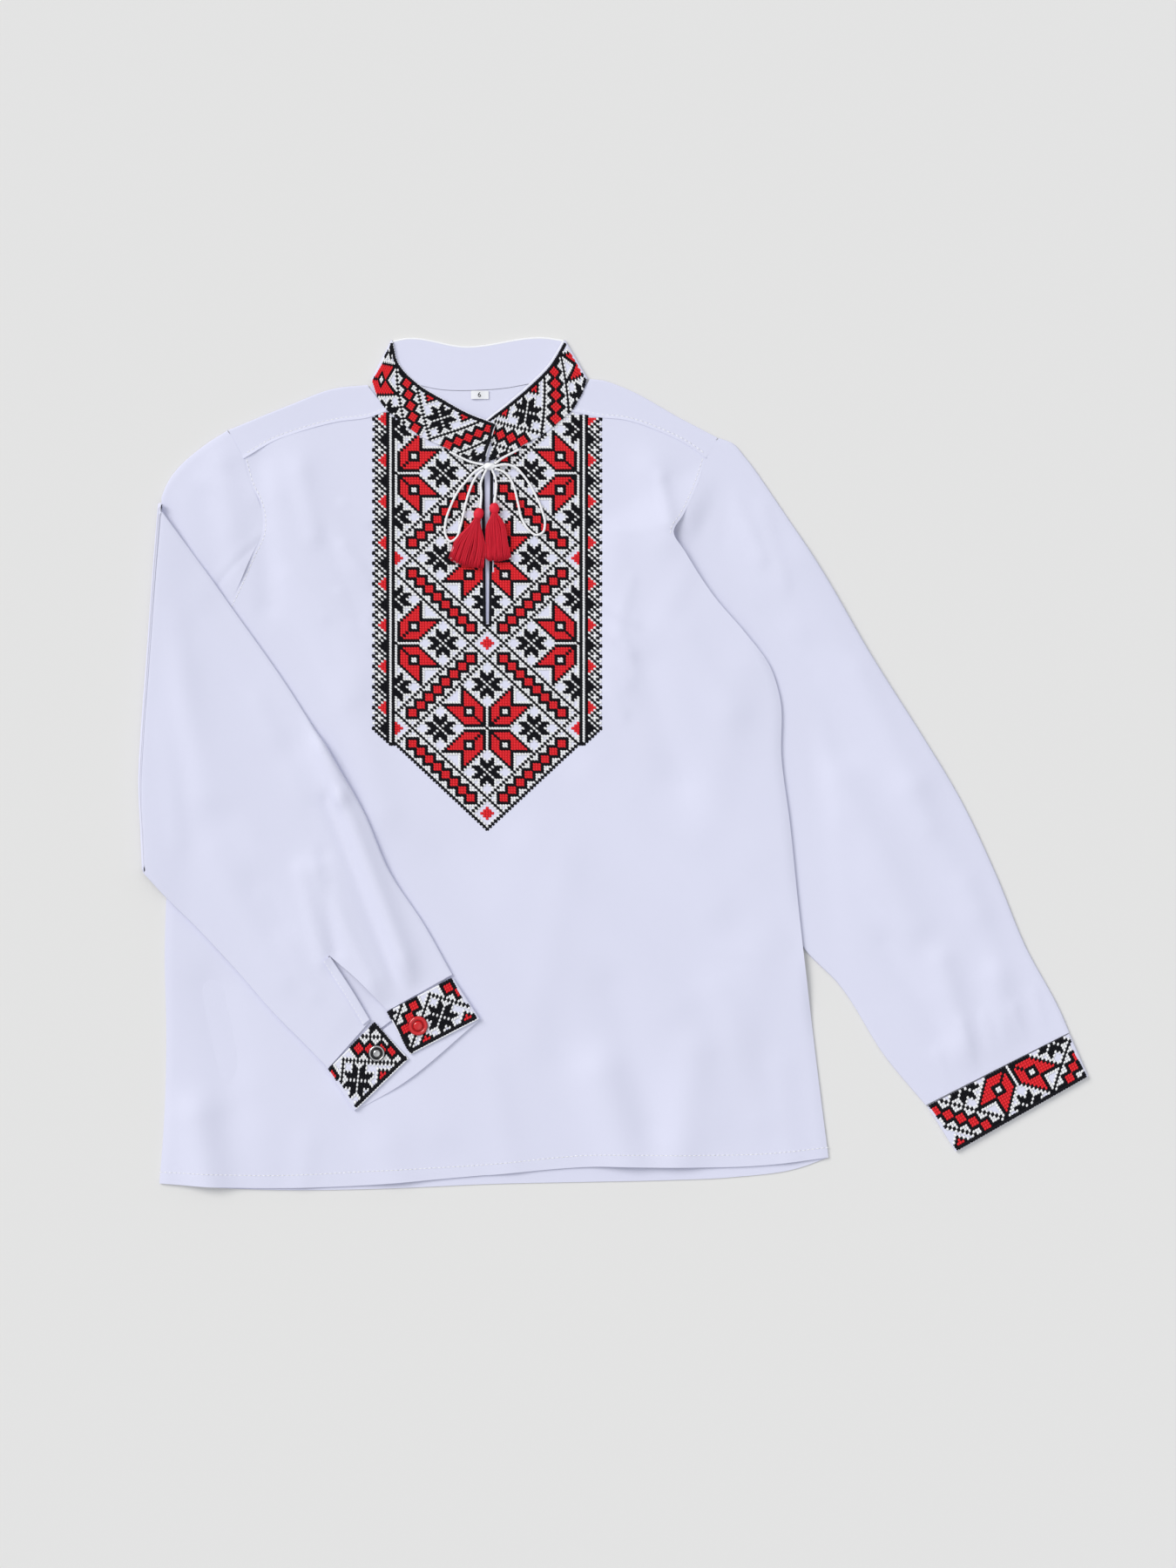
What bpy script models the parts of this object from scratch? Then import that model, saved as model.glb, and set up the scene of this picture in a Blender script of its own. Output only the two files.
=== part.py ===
"""A child's embroidered pullover shirt, laid flat and face up, as the pieces that a maker cuts and sews.

All tables are in millimetres, seen from above: +X to the right, +Y to the neck, +Z up from the surface.
Each seam is one table, which both of its pieces read, so their edges share the same points.
"""

import math

import bpy
import numpy as np

MM = 0.001
CLOTH = 1.0
STIFF = 1.4
GAP = 0.3
LAYER = CLOTH + GAP
SHEET_EDGE = (LAYER + CLOTH) / 2
STIFF_EDGE = STIFF + GAP / 2
DATUM_X = -0.02
DATUM_Y = -0.28

BACK_Z = CLOTH / 2
FRONT_Z = BACK_Z + LAYER
LAID_Z = FRONT_Z + LAYER
FOLD_AXIS_Z = 3.4
SAG = 2 * FOLD_AXIS_Z - FRONT_Z - LAID_Z
SAG_RUN = 30.0
SLEEVE_PUFF = 0.9

SLIT_X = -82.3
SLIT_TOP_WIDTH = 3.8
SLIT_END_WIDTH = 1.8
UNDERARM_V = 0.773
BODY_LOW_ROWS = 18
ARMHOLE_ROWS = 8
SHOULDER_CELLS = 6
NECK_CELLS = 6
SLEEVE_ROWS = 20

TUCK_LIFT = 2.7
TUCK_RUN = 45.0
TUCK_EASE = 12.0
CLEAR_OF_BODY = 18.0
CLEAR_RUN = 16.0
FRONT_EXTRA_LIFT = 0.5
FRONT_EXTRA_RUN = 15.0

CORD = 1.9
KNOT = {"x": -81.0, "y": 194.3, "z": 4.6, "half_x": 4.2, "half_y": 2.5, "half_z": 2.0}

# Body edges from hem to shoulder point, side seam and then armhole: x, y
BODY_LEFT = [
    (-297.0, -275.0),
    (-294.0, -236.0),
    (-292.5, -179.0),
    (-293.5, -122.0),
    (-292.5, -88.0),
    (-289.5, -42.0),
    (-285.5, 3.5),
    (-278.5, 38.0),
    (-268.0, 69.0),
    (-257.5, 92.0),
    (-246.0, 114.5),
    (-236.0, 137.5),
    (-230.0, 150.5),
    (-229.5, 161.5),
    (-231.5, 170.5),
    (-237.5, 183.0),
    (-242.0, 200.0),
]
BODY_RIGHT = [
    (141.0, -258.0),
    (138.5, -239.0),
    (134.5, -207.5),
    (124.5, -122.5),
    (120.5, -87.0),
    (115.5, -38.5),
    (110.0, 4.5),
    (109.0, 43.0),
    (102.5, 63.5),
    (87.5, 84.0),
    (65.5, 110.0),
    (47.0, 138.5),
    (39.5, 152.0),
    (45.5, 162.0),
    (54.5, 181.0),
    (61.0, 200.0),
]
SHOULDER_POINT_LEFT = (-252.0, 218.5)
SHOULDER_POINT_RIGHT = (68.5, 213.5)

# Hems from left to right: x, y
FRONT_HEM = [
    (-297.0, -275.0),
    (-266.5, -277.0),
    (-233.0, -278.0),
    (-179.0, -277.0),
    (-82.0, -269.5),
    (-12.5, -264.0),
    (34.5, -264.5),
    (100.0, -263.0),
    (141.0, -258.0),
]
BACK_HEM = [
    (-297.0, -275.0),
    (-266.5, -277.5),
    (-237.0, -279.0),
    (-150.0, -278.5),
    (-82.0, -275.5),
    (-12.5, -274.0),
    (34.5, -273.0),
    (78.0, -271.0),
    (121.5, -265.0),
    (141.0, -258.0),
]

# Seams of the shoulder strips and the neck: x, y
YOKE_FRONT_LEFT = [(-242.0, 200.0), (-221.0, 212.0), (-207.0, 217.0), (-181.0, 224.0), (-158.0, 227.5), (-148.0, 231.5)]
YOKE_FRONT_RIGHT = [(-27.0, 231.0), (-9.0, 227.0), (6.5, 225.5), (31.0, 217.5), (48.5, 209.0), (61.0, 200.0)]
SHOULDER_LEFT = [(-252.0, 218.5), (-214.0, 234.0), (-181.0, 246.0), (-160.5, 248.0)]
SHOULDER_RIGHT = [(-15.5, 252.0), (-6.5, 251.0), (6.5, 246.5), (45.5, 225.5), (68.5, 213.5)]
YOKE_BACK_LEFT = [(-248.5, 212.0), (-214.0, 228.5), (-181.0, 241.0), (-160.0, 244.5)]
YOKE_BACK_RIGHT = [(-16.5, 247.5), (-6.5, 246.8), (6.5, 242.5), (45.5, 219.5), (65.5, 208.1)]
NECK_FRONT_LEFT = [(-148.0, 231.5), (-127.0, 215.0), (-112.5, 208.0), (-91.5, 198.5), (-84.2, 197.4)]
NECK_FRONT_RIGHT = [(-80.4, 198.5), (-72.5, 201.5), (-55.0, 210.5), (-42.5, 218.0), (-27.0, 231.0)]
NECK_YOKE_LEFT = [(-148.0, 231.5), (-154.0, 240.0), (-157.6, 250.3)]
NECK_YOKE_RIGHT = [(-27.0, 231.0), (-19.2, 246.0), (-17.9, 251.6)]
NECK_BACK = [(-157.6, 250.3), (-131.0, 248.5), (-113.0, 245.0), (-90.5, 244.5), (-70.0, 246.0), (-53.0, 249.0), (-17.9, 251.6)]

# Free top edge of the collar's front left, back and front right: x, y
COLLAR_TOP_LEFT = [(-77.0, 222.0), (-97.0, 230.0), (-111.0, 238.0), (-128.0, 248.5), (-141.2, 263.0), (-144.6, 276.3)]
COLLAR_TOP_BACK = [(-144.6, 276.3), (-138.0, 278.0), (-97.0, 273.0), (-41.5, 278.5), (-32.4, 276.9)]
COLLAR_TOP_RIGHT = [(-83.5, 224.3), (-70.0, 235.0), (-55.0, 248.0), (-41.5, 262.0), (-32.4, 276.9)]
COLLAR_END_RIGHT = (-84.0, 197.5)
COLLAR_ROWS = 3

# Line along which the stretched sleeve lies under the body, where the body is lifted over it: y, x
TUCK_LINE = [
    (-280.0, 300.0),
    (-184.5, 200.0),
    (-156.0, 165.0),
    (-123.5, 126.5),
    (-42.0, 92.5),
    (43.5, 60.5),
    (100.5, 49.0),
    (129.0, 44.0),
    (152.0, 44.0),
    (162.0, 62.0),
    (181.0, 95.0),
    (200.0, 135.0),
    (280.0, 260.0),
]

# Stretched sleeve: x, y of its overarm edge, of the hidden end of its head, and of its underarm edge
OVERARM_RIGHT = [
    (68.5, 213.5),
    (79.0, 209.5),
    (86.0, 201.5),
    (108.0, 170.5),
    (138.0, 124.5),
    (169.0, 71.0),
    (204.5, 15.0),
    (227.5, -23.0),
    (250.5, -71.5),
    (270.5, -120.0),
    (293.5, -163.0),
    (299.0, -176.0),
]
HEAD_HIDDEN_RIGHT = [(43.0, 125.0), (49.0, 100.5)]
UNDERARM_RIGHT = [
    (49.0, 100.5),
    (60.5, 43.5),
    (92.5, -42.0),
    (126.5, -123.5),
    (146.0, -143.0),
    (179.0, -193.5),
    (204.5, -224.0),
]

# Folded sleeve before its fold: x, y of its edges, and the outside of the fold itself
OVERARM_LEFT = [(-252.0, 218.5), (-265.0, 210.5), (-292.0, 184.5), (-298.0, 170.5)]
UNDERARM_LEFT = [(-259.0, 92.6), (-274.0, 66.5), (-285.5, 35.0), (-293.5, -2.0), (-299.5, -36.5), (-305.0, -70.5)]
FOLD_OUTSIDE = [
    (-298.0, 170.5),
    (-301.0, 134.5),
    (-306.0, 65.5),
    (-309.5, 18.5),
    (-311.0, -10.0),
    (-309.5, -46.5),
    (-308.5, -70.5),
]
# Folded sleeve after its fold, lying on the body: x, y of its two edges, and of the slit above the cuff
OVERARM_BACK = [
    (-298.0, 169.5),
    (-250.0, 103.5),
    (-203.5, 36.0),
    (-181.0, -4.0),
    (-164.5, -30.0),
    (-146.5, -70.5),
    (-124.0, -104.0),
    (-105.0, -137.8),
]
UNDERARM_BACK = [
    (-308.5, -70.5),
    (-292.5, -88.0),
    (-271.0, -109.5),
    (-246.0, -136.5),
    (-220.5, -165.5),
    (-200.5, -185.5),
    (-187.0, -199.5),
]
PLACKET_UPPER = (-147.5, -161.8)
PLACKET_LOWER = (-159.0, -168.6)
PLACKET_TIP_T = 0.565
PLACKET_TIP_S = 0.80
PLACKET_UPPER_T = 0.475
PLACKET_LOWER_T = 0.614
PLACKET_START_WIDTH_T = 0.008
BINDING_LEFT = [(-186.5, -134.5), (-174.5, -153.0), (-163.6, -171.0)]
BINDING_RIGHT = [(-182.5, -131.0), (-170.0, -150.0), (-159.6, -167.6)]

# Cuffs: x, y on the sleeve's side, then x, y on the free side
CUFF_RIGHT = [
    (205.5, -224.8, 224.0, -254.0),
    (252.0, -200.8, 268.0, -229.0),
    (299.0, -176.8, 311.0, -204.5),
]
CUFF_LEFT_UPPER = [(-147.5, -162.5, -132.5, -190.0), (-104.5, -140.0, -87.0, -166.5)]
CUFF_LEFT_BACK = [(-104.5, -140.0, -87.0, -167.5), (-145.5, -170.5, -140.0, -211.0), (-187.0, -201.0, -169.0, -227.5)]
CUFF_LEFT_LOWER = [(-187.0, -201.0, -169.0, -227.0), (-156.0, -169.5, -134.0, -193.0)]
CUFF_CELLS = 5
CUFF_ROWS = 2

# Soft ridges of the cloth: x, y where each starts, x, y where it ends, its height and its half width
FRONT_FOLDS = [
    (26.0, 190.0, 38.0, 150.0, 1.6, 13.0),
    (0.0, 140.0, 8.0, 55.0, 0.9, 12.0),
    (-222.0, 172.0, -168.0, 62.0, 1.5, 16.0),
    (-205.0, 196.0, -172.0, 130.0, 1.0, 13.0),
    (-272.0, -232.0, -264.0, -278.0, 2.6, 13.0),
    (-8.0, -205.0, 12.0, -268.0, 2.2, 16.0),
    (54.0, -190.0, 42.0, -266.0, 1.7, 15.0),
    (-62.0, -90.0, 40.0, -170.0, 1.1, 26.0),
    (-149.0, -254.0, -140.0, -278.0, 1.3, 15.0),
]
SLEEVE_RIGHT_FOLDS = [
    (120.0, 128.0, 196.0, -6.0, 1.2, 15.0),
    (90.0, 150.0, 120.0, 90.0, 1.0, 12.0),
    (215.0, -130.0, 236.0, -206.0, 1.5, 9.0),
    (250.0, -140.0, 262.0, -196.0, 1.2, 9.0),
]
SLEEVE_LEFT_FOLDS = [
    (-188.0, 10.0, -130.0, -146.0, 2.2, 9.0),
    (-192.0, -70.0, -152.0, -152.0, 1.9, 8.0),
    (-285.0, 60.0, -240.0, -60.0, 1.2, 16.0),
]

# Tie: x, y, z of each stretch of cord
FEED_LEFT = [(-107.0, 203.9, 3.6), (-100.0, 200.5, 3.7), (-94.0, 197.5, 4.1), (-89.0, 196.2, 4.5), (-85.9, 196.0, 4.6)]
FEED_RIGHT = [(-76.2, 196.9, 4.6), (-72.5, 199.6, 4.2), (-66.0, 203.1, 3.7), (-61.5, 205.5, 3.6)]
LOOP_LEFT = [
    (-85.9, 193.8, 4.9),
    (-90.5, 190.7, 4.7),
    (-96.0, 184.8, 4.1),
    (-101.3, 178.2, 3.7),
    (-106.8, 167.0, 3.6),
    (-109.8, 157.0, 3.6),
    (-109.8, 150.0, 3.6),
    (-106.5, 145.2, 3.6),
    (-102.6, 147.5, 3.6),
    (-100.0, 154.5, 3.6),
    (-97.6, 165.0, 3.6),
    (-94.6, 176.5, 3.7),
    (-91.2, 185.0, 4.0),
    (-88.3, 189.4, 4.4),
    (-85.5, 191.3, 4.6),
]
LOOP_RIGHT = [
    (-75.9, 194.3, 4.9),
    (-71.0, 195.6, 4.7),
    (-64.5, 194.0, 4.1),
    (-58.0, 187.5, 3.7),
    (-51.5, 177.0, 3.6),
    (-46.5, 165.5, 3.6),
    (-44.6, 157.0, 3.6),
    (-46.0, 151.2, 3.6),
    (-50.2, 149.4, 3.6),
    (-55.0, 152.6, 3.6),
    (-59.5, 159.5, 3.6),
    (-62.2, 170.0, 3.6),
    (-64.8, 180.5, 3.8),
    (-68.6, 188.0, 4.1),
    (-73.0, 191.4, 4.5),
    (-76.0, 191.9, 4.6),
]
TAIL_LEFT = [(-83.0, 190.6, 4.5), (-85.2, 187.4, 4.2), (-86.6, 183.0, 3.8), (-86.2, 177.0, 3.8), (-86.9, 167.4, 4.7)]
TAIL_RIGHT = [(-79.2, 190.6, 4.5), (-77.2, 187.2, 4.2), (-76.4, 182.5, 3.8), (-76.9, 176.5, 3.8), (-77.9, 170.8, 4.7)]
CORD_STEP = 4.6

# Tassels: x, y of the head's top and of the skirt's middle, skirt width, head length, in the cloth's plane
TASSEL_LEFT = {"top": (-86.9, 167.0), "end": (-97.3, 129.5), "skirt": 23.5, "head": 7.6}
TASSEL_RIGHT = {"top": (-77.9, 170.4), "end": (-74.7, 131.8), "skirt": 16.0, "head": 7.0}
TASSEL_Z = 4.9
TASSEL_HALF_WIDTH = 3.2
TASSEL_HALF_HEIGHT = 2.2
STRANDS_ACROSS = 8
STRANDS_DEEP = 3
STRAND_FILL = 0.7

SNAP_SIDES = 20
SNAP_CAP_AT = (-127.5, -171.5)
SNAP_SOCKET_AT = (-154.5, -189.5)
# Turned profiles: radius, height
SNAP_CAP = [(6.2, 0.0), (6.2, 0.9), (5.7, 1.5), (4.7, 1.7), (4.0, 1.3), (3.2, 1.3), (2.7, 2.0), (1.4, 2.4)]
SNAP_SOCKET = [(5.2, 0.0), (5.2, 0.8), (4.8, 1.4), (4.1, 1.4), (3.7, 0.8), (2.6, 0.8), (2.2, 1.7), (1.2, 2.0)]

LABEL = {"x0": -93.0, "x1": -81.5, "y0": 238.6, "y1": 243.9}

# Colours: red, green, blue, roughness, metallic
FINISHES = {
    "poplin": (0.86, 0.87, 0.95, 0.75, 0.0),
    "stitched band": (0.80, 0.78, 0.82, 0.80, 0.0),
    "cotton cord": (0.93, 0.93, 0.93, 0.70, 0.0),
    "tassel thread": (0.62, 0.01, 0.04, 0.60, 0.0),
    "red lacquer": (0.70, 0.01, 0.02, 0.25, 0.0),
    "nickel": (0.55, 0.55, 0.55, 0.30, 1.0),
    "label tape": (0.95, 0.95, 0.95, 0.60, 0.0),
}


def smoothstep(value):
    """Eases from 0 to 1 while value goes from 0 to 1."""
    bounded = np.clip(value, 0.0, 1.0)
    return bounded * bounded * (3.0 - 2.0 * bounded)


def curve(table, stations):
    """Smooth curve through a table's rows, read at fractions of its chord length.

    Each span is a cubic whose end slopes are the chord slopes beside it, weighted by the other chord's length.
    """
    rows = np.array(table, float)
    chords = np.linalg.norm(np.diff(rows, axis=0), axis=1)
    places = np.concatenate([[0.0], np.cumsum(chords)])
    slopes = np.diff(rows, axis=0) / chords[:, None]
    tangents = np.vstack([slopes[:1], slopes[-1:]]) if len(rows) == 2 else None
    if tangents is None:
        before, after = chords[:-1, None], chords[1:, None]
        inner = (slopes[:-1] * after + slopes[1:] * before) / (before + after)
        tangents = np.vstack([slopes[:1], inner, slopes[-1:]])
    wanted = np.clip(np.asarray(stations, float), 0.0, 1.0) * places[-1]
    span = np.clip(np.searchsorted(places, wanted, side="right") - 1, 0, len(chords) - 1)
    length = chords[span]
    part = ((wanted - places[span]) / length)[:, None]
    rise = part * part * (3.0 - 2.0 * part)
    start = part * (1.0 - part) ** 2
    end = part * part * (part - 1.0)
    held = rows[span] * (1.0 - rise) + rows[span + 1] * rise
    return held + (start * tangents[span] + end * tangents[span + 1]) * length[:, None]


def spread(table, cells):
    """A seam's shared points: the curve through its table cut into equal stretches."""
    return curve(table, np.linspace(0.0, 1.0, cells + 1))


def at_height(table, heights):
    """Points of an edge at given y, for an edge that only rises."""
    fine = curve(table, np.linspace(0.0, 1.0, 400))
    return np.column_stack([np.interp(heights, fine[:, 1], fine[:, 0]), heights])


def at_width(table, widths):
    """Points of an edge at given x, for an edge that only runs right."""
    fine = curve(table, np.linspace(0.0, 1.0, 400))
    return np.column_stack([widths, np.interp(widths, fine[:, 0], fine[:, 1])])


def aside(points, distance):
    """An edge moved to the left of its run by a distance, kept in the cloth's plane."""
    run = np.gradient(points[:, :2], axis=0)
    run /= np.linalg.norm(run, axis=1)[:, None]
    moved = points.copy()
    moved[:, 0] -= run[:, 1] * distance
    moved[:, 1] += run[:, 0] * distance
    return moved


def joined(*edges):
    """Edges that follow each other, with each shared point kept once."""
    return np.vstack([edges[0]] + [edge[1:] for edge in edges[1:]])


def patch(low, high, left, right, across, along):
    """Coons patch: the two ruled sheets between facing edges, less the sheet ruled between the four corners."""
    u = across[None, :, None]
    v = along[:, None, None]
    rows = (1.0 - v) * low[None] + v * high[None]
    columns = (1.0 - u) * left[:, None] + u * right[:, None]
    corners = (1.0 - v) * ((1.0 - u) * low[0] + u * low[-1]) + v * ((1.0 - u) * high[0] + u * high[-1])
    return rows + columns - corners


def raised(plan, height):
    """Points of the plane given their height."""
    height = np.broadcast_to(height, plan.shape[:-1])
    return np.concatenate([plan, height[..., None]], axis=-1)


def fold_height(plan, folds):
    """Sum of soft ridges: each is a bell across its line and dies away beyond its two ends."""
    total = np.zeros(plan.shape[:-1])
    for x0, y0, x1, y1, height, half_width in folds:
        start = np.array([x0, y0])
        run = np.array([x1, y1]) - start
        length = np.linalg.norm(run)
        run = run / length
        offset = plan - start
        along = offset @ run
        across = offset[..., 0] * run[1] - offset[..., 1] * run[0]
        past = np.maximum(np.maximum(-along, along - length), 0.0)
        total += height * np.exp(-((across / half_width) ** 2) - (past / (1.2 * half_width)) ** 2)
    return total


def tuck_height(plan, lift, run):
    """Lift of the body over the stretched sleeve, easing in over a run before the line of the sleeve's edge."""
    line = np.array(TUCK_LINE)
    edge_x = np.interp(plan[..., 1], line[:, 0], line[:, 1])
    return lift * smoothstep((plan[..., 0] - edge_x + TUCK_EASE + run) / run)


def normals_of(mid, around):
    """Unit normals of a grid of points, from its neighbours along and across."""
    along = np.gradient(mid, axis=0)
    if around:
        across = np.roll(mid, -1, axis=1) - np.roll(mid, 1, axis=1)
    else:
        across = np.gradient(mid, axis=1)
    normal = np.cross(across, along)
    return normal / np.linalg.norm(normal, axis=2)[..., None]


def finish_of(name):
    """Principled material of a named finish."""
    if name in bpy.data.materials:
        return bpy.data.materials[name]
    red, green, blue, roughness, metallic = FINISHES[name]
    material = bpy.data.materials.new(name)
    material.use_nodes = True
    shader = material.node_tree.nodes["Principled BSDF"]
    shader.inputs["Base Color"].default_value = (red, green, blue, 1.0)
    shader.inputs["Roughness"].default_value = roughness
    shader.inputs["Metallic"].default_value = metallic
    material.diffuse_color = (red, green, blue, 1.0)
    return material


def add_object(name, points, faces, finish):
    """Named object of a mesh given in millimetres."""
    mesh = bpy.data.meshes.new(name)
    shifted = (np.asarray(points, float) - (DATUM_X, DATUM_Y, 0.0)) * MM
    mesh.from_pydata(shifted.tolist(), [], faces)
    mesh.materials.append(finish_of(finish))
    mesh.shade_smooth()
    mesh.set_sharp_from_angle(angle=math.radians(40.0))
    obj = bpy.data.objects.new(name, mesh)
    bpy.context.scene.collection.objects.link(obj)
    return obj


def wall(name, upper, lower, finish, keep=None, around=False):
    """Closed wall between two grids of points: top faces, bottom faces, and sides along every free edge."""
    rows, columns = upper.shape[:2]
    cells = columns if around else columns - 1
    index = np.arange(rows * columns).reshape(rows, columns)
    tops = []
    for row in range(rows - 1):
        for column in range(cells):
            if keep is None or keep[row, column]:
                right = (column + 1) % columns
                tops.append((index[row, column], index[row, right], index[row + 1, right], index[row + 1, column]))
    edges = {(face[k], face[(k + 1) % 4]) for face in tops for k in range(4)}
    free = [edge for edge in sorted(edges) if (edge[1], edge[0]) not in edges]
    below = rows * columns
    faces = [tuple(int(k) for k in face) for face in tops]
    faces += [tuple(int(k) + below for k in reversed(face)) for face in tops]
    faces += [(int(b), int(a), int(a) + below, int(b) + below) for a, b in free]
    points = np.vstack([upper.reshape(-1, 3), lower.reshape(-1, 3)])
    used = sorted({k for face in faces for k in face})
    renumbered = {old: new for new, old in enumerate(used)}
    faces = [tuple(renumbered[k] for k in face) for face in faces]
    return add_object(name, points[used], faces, finish)


def flat_wall(name, plan, underside, thickness, finish, keep=None):
    """Wall whose underside is given, with its thickness measured straight up."""
    lower = raised(plan, underside)
    upper = lower + (0.0, 0.0, thickness)
    return wall(name, upper, lower, finish, keep)


def bent_wall(name, mid, thickness, finish, keep=None, around=False):
    """Wall with half its thickness on each side of its middle surface."""
    half = normals_of(mid, around) * thickness / 2
    return wall(name, mid + half, mid - half, finish, keep, around)


def body_stations():
    """Shared heights of the body's rows as fractions of its side: hem to underarm, then up the armhole."""
    low = np.linspace(0.0, UNDERARM_V, BODY_LOW_ROWS + 1)
    high = np.linspace(UNDERARM_V, 1.0, ARMHOLE_ROWS + 1)
    return np.concatenate([low, high[1:]])


def body_edge(table, stations):
    """Points of the body's edge at fractions of its height."""
    bottom, top = table[0][1], table[-1][1]
    return at_height(table, bottom + (top - bottom) * np.asarray(stations))


def make_front():
    """Front panel: side seams, armholes, shoulder and neck seams, hem, and the slit down from the neck."""
    rows = body_stations()
    half = SHOULDER_CELLS + NECK_CELLS
    across = np.concatenate([np.linspace(0.0, 0.5, half + 1), np.linspace(0.5, 1.0, half + 1)])
    top_left = joined(spread(YOKE_FRONT_LEFT, SHOULDER_CELLS), spread(NECK_FRONT_LEFT, NECK_CELLS))
    top_right = joined(spread(NECK_FRONT_RIGHT, NECK_CELLS), spread(YOKE_FRONT_RIGHT, SHOULDER_CELLS))
    high = np.vstack([aside(top_left, -GAP), aside(top_right, -GAP)])
    hem_x = np.concatenate([np.linspace(FRONT_HEM[0][0], SLIT_X, half + 1), np.linspace(SLIT_X, FRONT_HEM[-1][0], half + 1)])
    low = at_width(FRONT_HEM, hem_x)
    left = body_edge(BODY_LEFT, rows)
    right = body_edge(BODY_RIGHT, rows)
    high[0] = left[-1]
    high[-1] = right[-1]
    plan = patch(low, high, left, right, across, rows)
    opened = np.clip((rows - UNDERARM_V) / (1.0 - UNDERARM_V), 0.0, 1.0)
    width = SLIT_END_WIDTH + (SLIT_TOP_WIDTH - SLIT_END_WIDTH) * opened
    plan[:, half, 0] = SLIT_X - width / 2
    plan[:, half + 1, 0] = SLIT_X + width / 2
    keep = np.ones((len(rows) - 1, len(across) - 1), bool)
    keep[BODY_LOW_ROWS:, half] = False
    lift = tuck_height(plan, TUCK_LIFT + FRONT_EXTRA_LIFT, TUCK_RUN + FRONT_EXTRA_RUN)
    underside = LAYER + lift + fold_height(plan, FRONT_FOLDS)
    flat_wall("front", plan, underside, CLOTH, "poplin", keep)


def make_back():
    """Back panel, flat on the surface but where it passes over the stretched sleeve."""
    rows = body_stations()
    high = joined(spread(YOKE_BACK_LEFT, 3), np.vstack([YOKE_BACK_LEFT[-1], spread(NECK_BACK, NECK_CELLS)]))
    high = joined(high, np.vstack([NECK_BACK[-1], spread(YOKE_BACK_RIGHT, 7)]))
    high = aside(high, -GAP)
    left = np.vstack([body_edge(BODY_LEFT, rows), YOKE_BACK_LEFT[:1]])
    right = np.vstack([body_edge(BODY_RIGHT, rows), YOKE_BACK_RIGHT[-1:]])
    high[0] = left[-1]
    high[-1] = right[-1]
    across = (high[:, 0] - high[0, 0]) / (high[-1, 0] - high[0, 0])
    low = at_width(BACK_HEM, BACK_HEM[0][0] + across * (BACK_HEM[-1][0] - BACK_HEM[0][0]))
    along = np.append(rows * 0.97, 1.0)
    plan = patch(low, high, left, right, across, along)
    flat_wall("back", plan, tuck_height(plan, TUCK_LIFT, TUCK_RUN), CLOTH, "poplin")


def make_yoke(name, front_seam, shoulder, back_seam, side):
    """Shoulder strip: up from its front seam, round the shoulder fold and down to its back seam."""
    front = aside(spread(front_seam, SHOULDER_CELLS), GAP / 3)
    fold = aside(spread(shoulder, SHOULDER_CELLS), -SHEET_EDGE)
    back = aside(spread(back_seam, SHOULDER_CELLS), GAP)
    outward = aside(fold, 1.0) - fold
    middle = (front + fold) / 2
    turn = fold + outward * LAYER / 2
    heights = (FRONT_Z, FRONT_Z, FRONT_Z, (FRONT_Z + BACK_Z) / 2, BACK_Z, BACK_Z)
    lines = [raised(line, height) for line, height in zip((front, middle, fold, turn, fold, back), heights)]
    mid = np.array(lines)
    end = 0 if side > 0 else -1
    mid[:, end, 0] += side * GAP
    bent_wall(name, mid, CLOTH, "poplin")


def hairpin(edge_a, edge_b, outward, steps):
    """Points of a half turn from one edge to the same edge a layer away, bulging outward."""
    turned = []
    for step in range(1, steps + 1):
        angle = math.pi * step / (steps + 1)
        middle = (edge_a + edge_b) / 2 + (edge_a - edge_b) / 2 * math.cos(angle)
        reach = np.linalg.norm(edge_a - edge_b, axis=-1) / 2 * math.sin(angle)
        turned.append(middle + outward * reach[..., None])
    return turned


def tube(front_layer, back_layer, out_start, out_end):
    """Flattened tube: the front layer, a turn at its far edge, the back layer reversed, a turn at its near edge."""
    far = hairpin(front_layer[:, -1], back_layer[:, -1], out_end, 1)[0]
    near = hairpin(back_layer[:, 0], front_layer[:, 0], out_start, 1)[0]
    return np.concatenate([front_layer, far[:, None], back_layer[:, ::-1], near[:, None]], axis=1)


def edge_outward(edge, side):
    """Level unit vectors that point away from a tube's edge, smoothed along it."""
    run = np.gradient(edge[:, :2], axis=0)
    outward = np.column_stack([-run[:, 1], run[:, 0]]) * side
    outward /= np.linalg.norm(outward, axis=1)[:, None]
    smoothed = outward.copy()
    smoothed[1:-1] = (outward[:-2] + 2.0 * outward[1:-1] + outward[2:]) / 4.0
    smoothed /= np.linalg.norm(smoothed, axis=1)[:, None]
    return np.column_stack([smoothed, np.zeros(len(edge))])


def sleeve_head(table, shoulder_point, rows):
    """Head of a sleeve: the shoulder point, then the armhole's shared points from the top down."""
    armhole = body_edge(table, rows)[::-1]
    return np.vstack([shoulder_point, armhole])


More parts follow.
